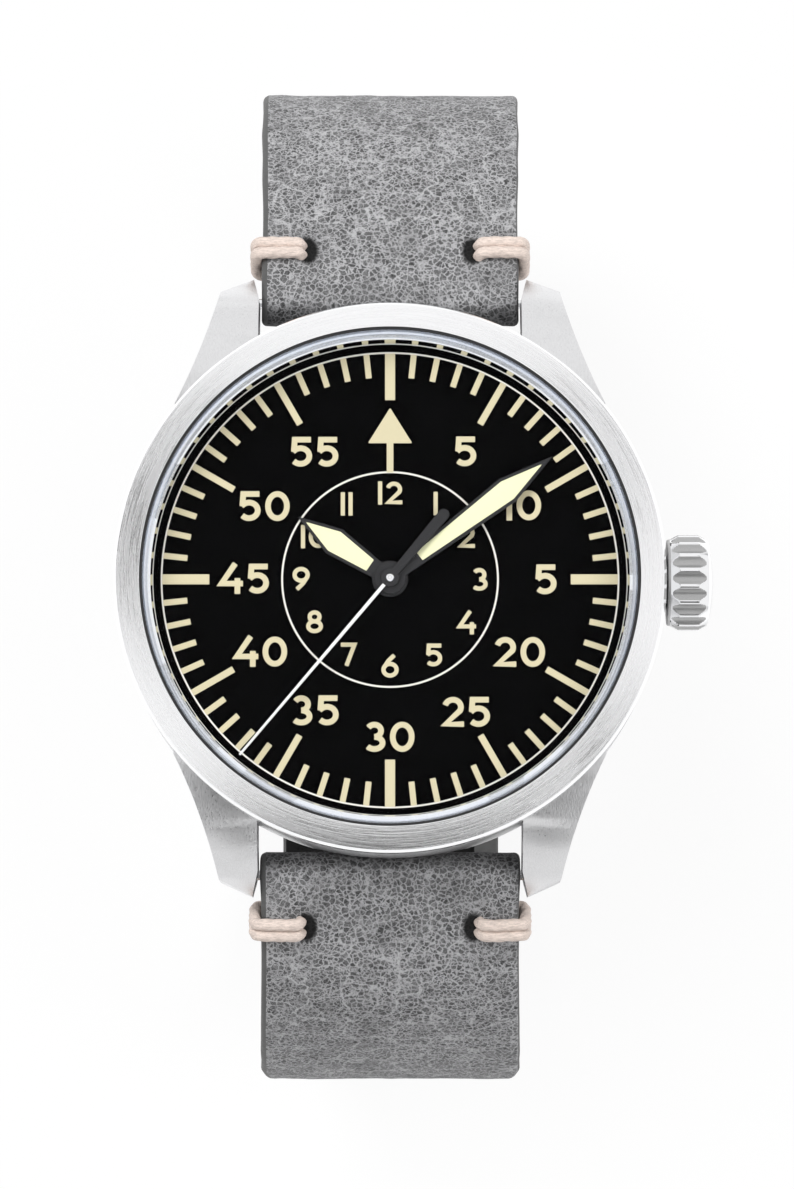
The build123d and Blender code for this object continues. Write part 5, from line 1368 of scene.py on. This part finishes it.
class WATCH_OT_keepers(bpy.types.Operator):
    """Fixed and free leather keepers round both halves of the strap"""
    bl_idname = "watch.keepers"
    bl_label = "Keepers"

    def execute(self, context):
        for name, body in (("fixed_keeper", "case"), ("free_keeper", "free_keeper_body")):
            low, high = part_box(name)
            half, bottom, top = high.x / MM, low.z / MM, high.z / MM
            start, end = low.y / MM, high.y / MM
            outer = rounded([(half, bottom), (half, top), (-half, top), (-half, bottom)], 0.8, 8)
            fine = resampled(outer, KEEPER_STEP)
            ways = ways_of(fine)
            normals = np.stack((ways[:, 1], np.zeros(len(fine)), -ways[:, 0]), 1)
            origins = np.stack((fine[:, 0], np.full(len(fine), (start + end) / 2), fine[:, 1]), 1)
            wide = (end - start) / 2
            section = rounded([(-wide, 0, 0.3), (wide, 0, 0.3), (wide, -KEEPER_WALL, 0.15),
                               (-wide, -KEEPER_WALL, 0.15)], 0.2, 4)
            dense = resampled(section, KEEPER_STEP)
            sections = []
            for index in range(len(fine)):
                place = np.full(len(dense), index * KEEPER_STEP)
                bumps = 0.03 * smooth_noise(5, dense[:, 0], place, 1.1) - 0.03
                lifted = dense[:, 1] + np.where(dense[:, 1] > -0.1, bumps, 0)
                sections.append(np.stack((dense[:, 0], lifted), 1))
            across = np.tile((0.0, 1.0, 0.0), (len(fine), 1))
            piece = sweep(name + "_loop", origins, across, normals, sections, [leather()], True, None, 50)
            settle(piece, body, [name])
        return {"FINISHED"}


KEPT = (
    (lug_steel, ["mid_case"], 0.12),
    (back_steel, ["case_back_ring"], 0.08),
    (buckle_steel, ["buckle_frame", "buckle_tongue"], 0.25),
    (polished_steel, ["buckle_bar", "spring_bar_12", "spring_bar_6", "crown_tube", "winding_stem",
                      "winding_pinion", "sliding_pinion", "pallet_fork", "cannon_pinion"], 0.03),
    (sapphire, ["case_back_glass"], 0.0),
    (rubber, ["case_back_gasket", "crown_gasket"], 0.0),
    (pearled_nickel, ["main_plate", "movement_ring"], 0.05),
    (striped_nickel, ["barrel_bridge", "train_bridge", "automatic_bridge", "balance_cock",
                      "pallet_bridge"], 0.06),
    (snailed_steel, ["rotor", "ratchet_wheel", "crown_wheel", "escape_wheel"], 0.05),
    (gilt_brass, ["centre_wheel", "third_wheel", "seconds_wheel", "barrel", "minute_wheel", "hour_wheel",
                  "balance_wheel"], 0.03),
    (spring_blue, ["hairspring", "mainspring", "bridge_screws"], 0.0),
    (ruby, ["jewels"], 0.0),
)


class WATCH_OT_finishes(bpy.types.Operator):
    """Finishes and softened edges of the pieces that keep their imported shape"""
    bl_idname = "watch.finishes"
    bl_label = "Finishes"

    def execute(self, context):
        for maker, nodes, edge in KEPT:
            material = maker()
            for node in nodes:
                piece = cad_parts[node]
                piece.data.materials.clear()
                piece.data.materials.append(material)
                if edge:
                    weld = piece.modifiers.new("Weld", "WELD")
                    weld.merge_threshold = 2e-6
                    bevel = piece.modifiers.new("Edges", "BEVEL")
                    bevel.width = edge * MM
                    bevel.segments = 3
                    bevel.limit_method = "ANGLE"
                    bevel.angle_limit = radians(32)
                    bevel.harden_normals = True
        return {"FINISHED"}


def area_light(name, place, size, level, aim=(0, 0, 50), shape_y=None):
    """Soft lamp that shines at a point, sized in millimetres."""
    light = bpy.data.lights.new(name, "AREA")
    light.shape = "RECTANGLE"
    light.size = size * MM
    light.size_y = (shape_y or size) * MM
    light.energy = level
    lamp = bpy.data.objects.new(name, light)
    bpy.context.scene.collection.objects.link(lamp)
    lamp.location = Vector(place) * MM
    way = (Vector(aim) - Vector(place)) * MM
    lamp.rotation_mode = "QUATERNION"
    lamp.rotation_quaternion = way.to_track_quat("-Z", "Y")
    lamp.visible_glossy = False
    return lamp


def dark_card(name, bearing, zenith, distance, wide, high, tone):
    """Card out of the camera's sight that the steel reflects, at a bearing clockwise from 12."""
    bearing, zenith = radians(bearing), radians(zenith)
    way = Vector((sin(bearing) * sin(zenith), cos(bearing) * sin(zenith), cos(zenith)))
    centre = Vector((0, 0, 52)) + way * distance
    side = way.cross(Vector((0, 0, 1))).normalized() * wide / 2
    up = side.cross(way).normalized() * high / 2
    card = piece_of(name, [centre - side - up, centre + side - up, centre + side + up, centre - side + up],
                    [(0, 1, 2, 3)], [tone])
    card.visible_camera = False
    card.visible_diffuse = False
    card.visible_shadow = False
    return card


def card_tone(name, level):
    """Plain card tone."""
    look = Look(bpy.data.materials.new(name))
    shade = look.add("Emission", None, {"Color": (level, level, level), "Strength": 1.0})
    look.add("OutputMaterial", None, {"Surface": shade})
    return look.owner


class WATCH_OT_stage(bpy.types.Operator):
    """Floor, light and camera of the photograph"""
    bl_idname = "watch.stage"
    bl_label = "Stage"

    def execute(self, context):
        group = context.scene.watch.stage
        s = millimetres(group)
        world = bpy.data.worlds.new("Studio")
        context.scene.world = world
        look = Look(world)
        rays = look.add("LightPath")
        seen = rays + rays.output("Is Glossy Ray") + rays.output("Is Transmission Ray")
        strength = look.ranged(seen, 0.0, 1.0, 0.5, 1.0)
        shade = look.add("Background", None, {"Color": (1.0, 1.0, 1.0), "Strength": strength})
        look.add("OutputWorld", None, {"Surface": shade})

        floor_look = Look(bpy.data.materials.new("Floor"))
        x, y, _ = floor_look.parts(floor_look.place())
        away = floor_look.math("SQRT", x * x + y * y)
        grain = floor_look.noise(floor_look.place(), 0.02, 3.0)
        paper = floor_look.add("BsdfPrincipled", None,
                               {"Base Color": floor_look.blend(grain, (0.9, 0.9, 0.9), (0.93, 0.93, 0.93)),
                                "Roughness": 0.9, "Specular IOR Level": 0.1})
        white = floor_look.add("Emission", None, {"Color": (1.0, 1.0, 1.0), "Strength": 1.0})
        camera_ray = floor_look.add("LightPath")
        share = floor_look.ranged(away, 20.0, 60.0, 0.86, 1.0) * camera_ray
        mixed = floor_look.add("MixShader", None, {0: share, 1: paper, 2: white})
        floor_look.add("OutputMaterial", None, {"Surface": mixed})
        corners = [(x * FLOOR_REACH, y * FLOOR_REACH, -0.05) for x, y in ((-1, -1), (1, -1), (1, 1), (-1, 1))]
        floor = piece_of("floor", corners, [(0, 1, 2, 3)], [floor_look.owner])

        area_light("key_light", (-240, 260, 540), 260, 2.6)
        area_light("fill_light", (300, -60, 460), 240, 1.2)
        for name, bearing, zenith, wide, high, level in (
                ("six", 182, 44, 430, 440, 0.16), ("four", 121, 33, 110, 200, 0.2),
                ("ten", 288, 34, 150, 220, 0.06), ("two", 50, 34, 200, 200, 0.5),
                ("eleven", 314, 34, 110, 200, 0.4)):
            dark_card("card_" + name, bearing, zenith, CARD_DISTANCE, wide, high,
                      card_tone("Card_" + name, level))

        camera = bpy.data.cameras.new("Camera")
        camera.sensor_width = SENSOR_WIDTH
        camera.lens = SENSOR_WIDTH * s.distance / s.seen_height
        camera.clip_start = 0.01
        camera.clip_end = 20.0
        holder = bpy.data.objects.new("Camera", camera)
        context.scene.collection.objects.link(holder)
        aim = Vector((s.aim_x, s.aim_y, s.aim_z))
        back = Vector((0, -sin(group.tilt), cos(group.tilt)))
        holder.location = (aim + back * s.distance) * MM
        holder.rotation_mode = "QUATERNION"
        holder.rotation_quaternion = (-back).to_track_quat("-Z", "Y")
        context.scene.camera = holder
        context.scene.view_settings.view_transform = "Standard"
        return {"FINISHED"}


class WATCH_PT_panel(bpy.types.Panel):
    """Lists the watch's pieces and the stage"""
    bl_idname = "WATCH_PT_panel"
    bl_label = "Pilot Watch"
    bl_space_type = "VIEW_3D"
    bl_region_type = "UI"
    bl_category = "Watch"

    def draw(self, context):
        column = self.layout.column(align=True)
        for operator in OPERATORS:
            column.operator(operator.bl_idname)


OPERATORS = (WATCH_OT_finishes, WATCH_OT_bezel, WATCH_OT_crystal, WATCH_OT_dial, WATCH_OT_hands,
             WATCH_OT_crown, WATCH_OT_strap, WATCH_OT_stitches, WATCH_OT_keepers, WATCH_OT_stage)
CLASSES = (WatchCase, WatchCrown, WatchDial, WatchHands, WatchStrap, WatchStage, WatchSettings, *OPERATORS,
           WATCH_PT_panel)


def register():
    """Register all classes and the scene's settings."""
    for one in CLASSES:
        bpy.utils.register_class(one)
    bpy.types.Scene.watch = PointerProperty(type=WatchSettings)


def unregister():
    """Remove the settings and all classes."""
    del bpy.types.Scene.watch
    for one in reversed(CLASSES):
        bpy.utils.unregister_class(one)


def main():
    """Build every piece and the stage in order."""
    register()
    for operator in OPERATORS:
        group, name = operator.bl_idname.split(".")
        getattr(getattr(bpy.ops, group), name)()


if __name__ == "__main__":
    main()
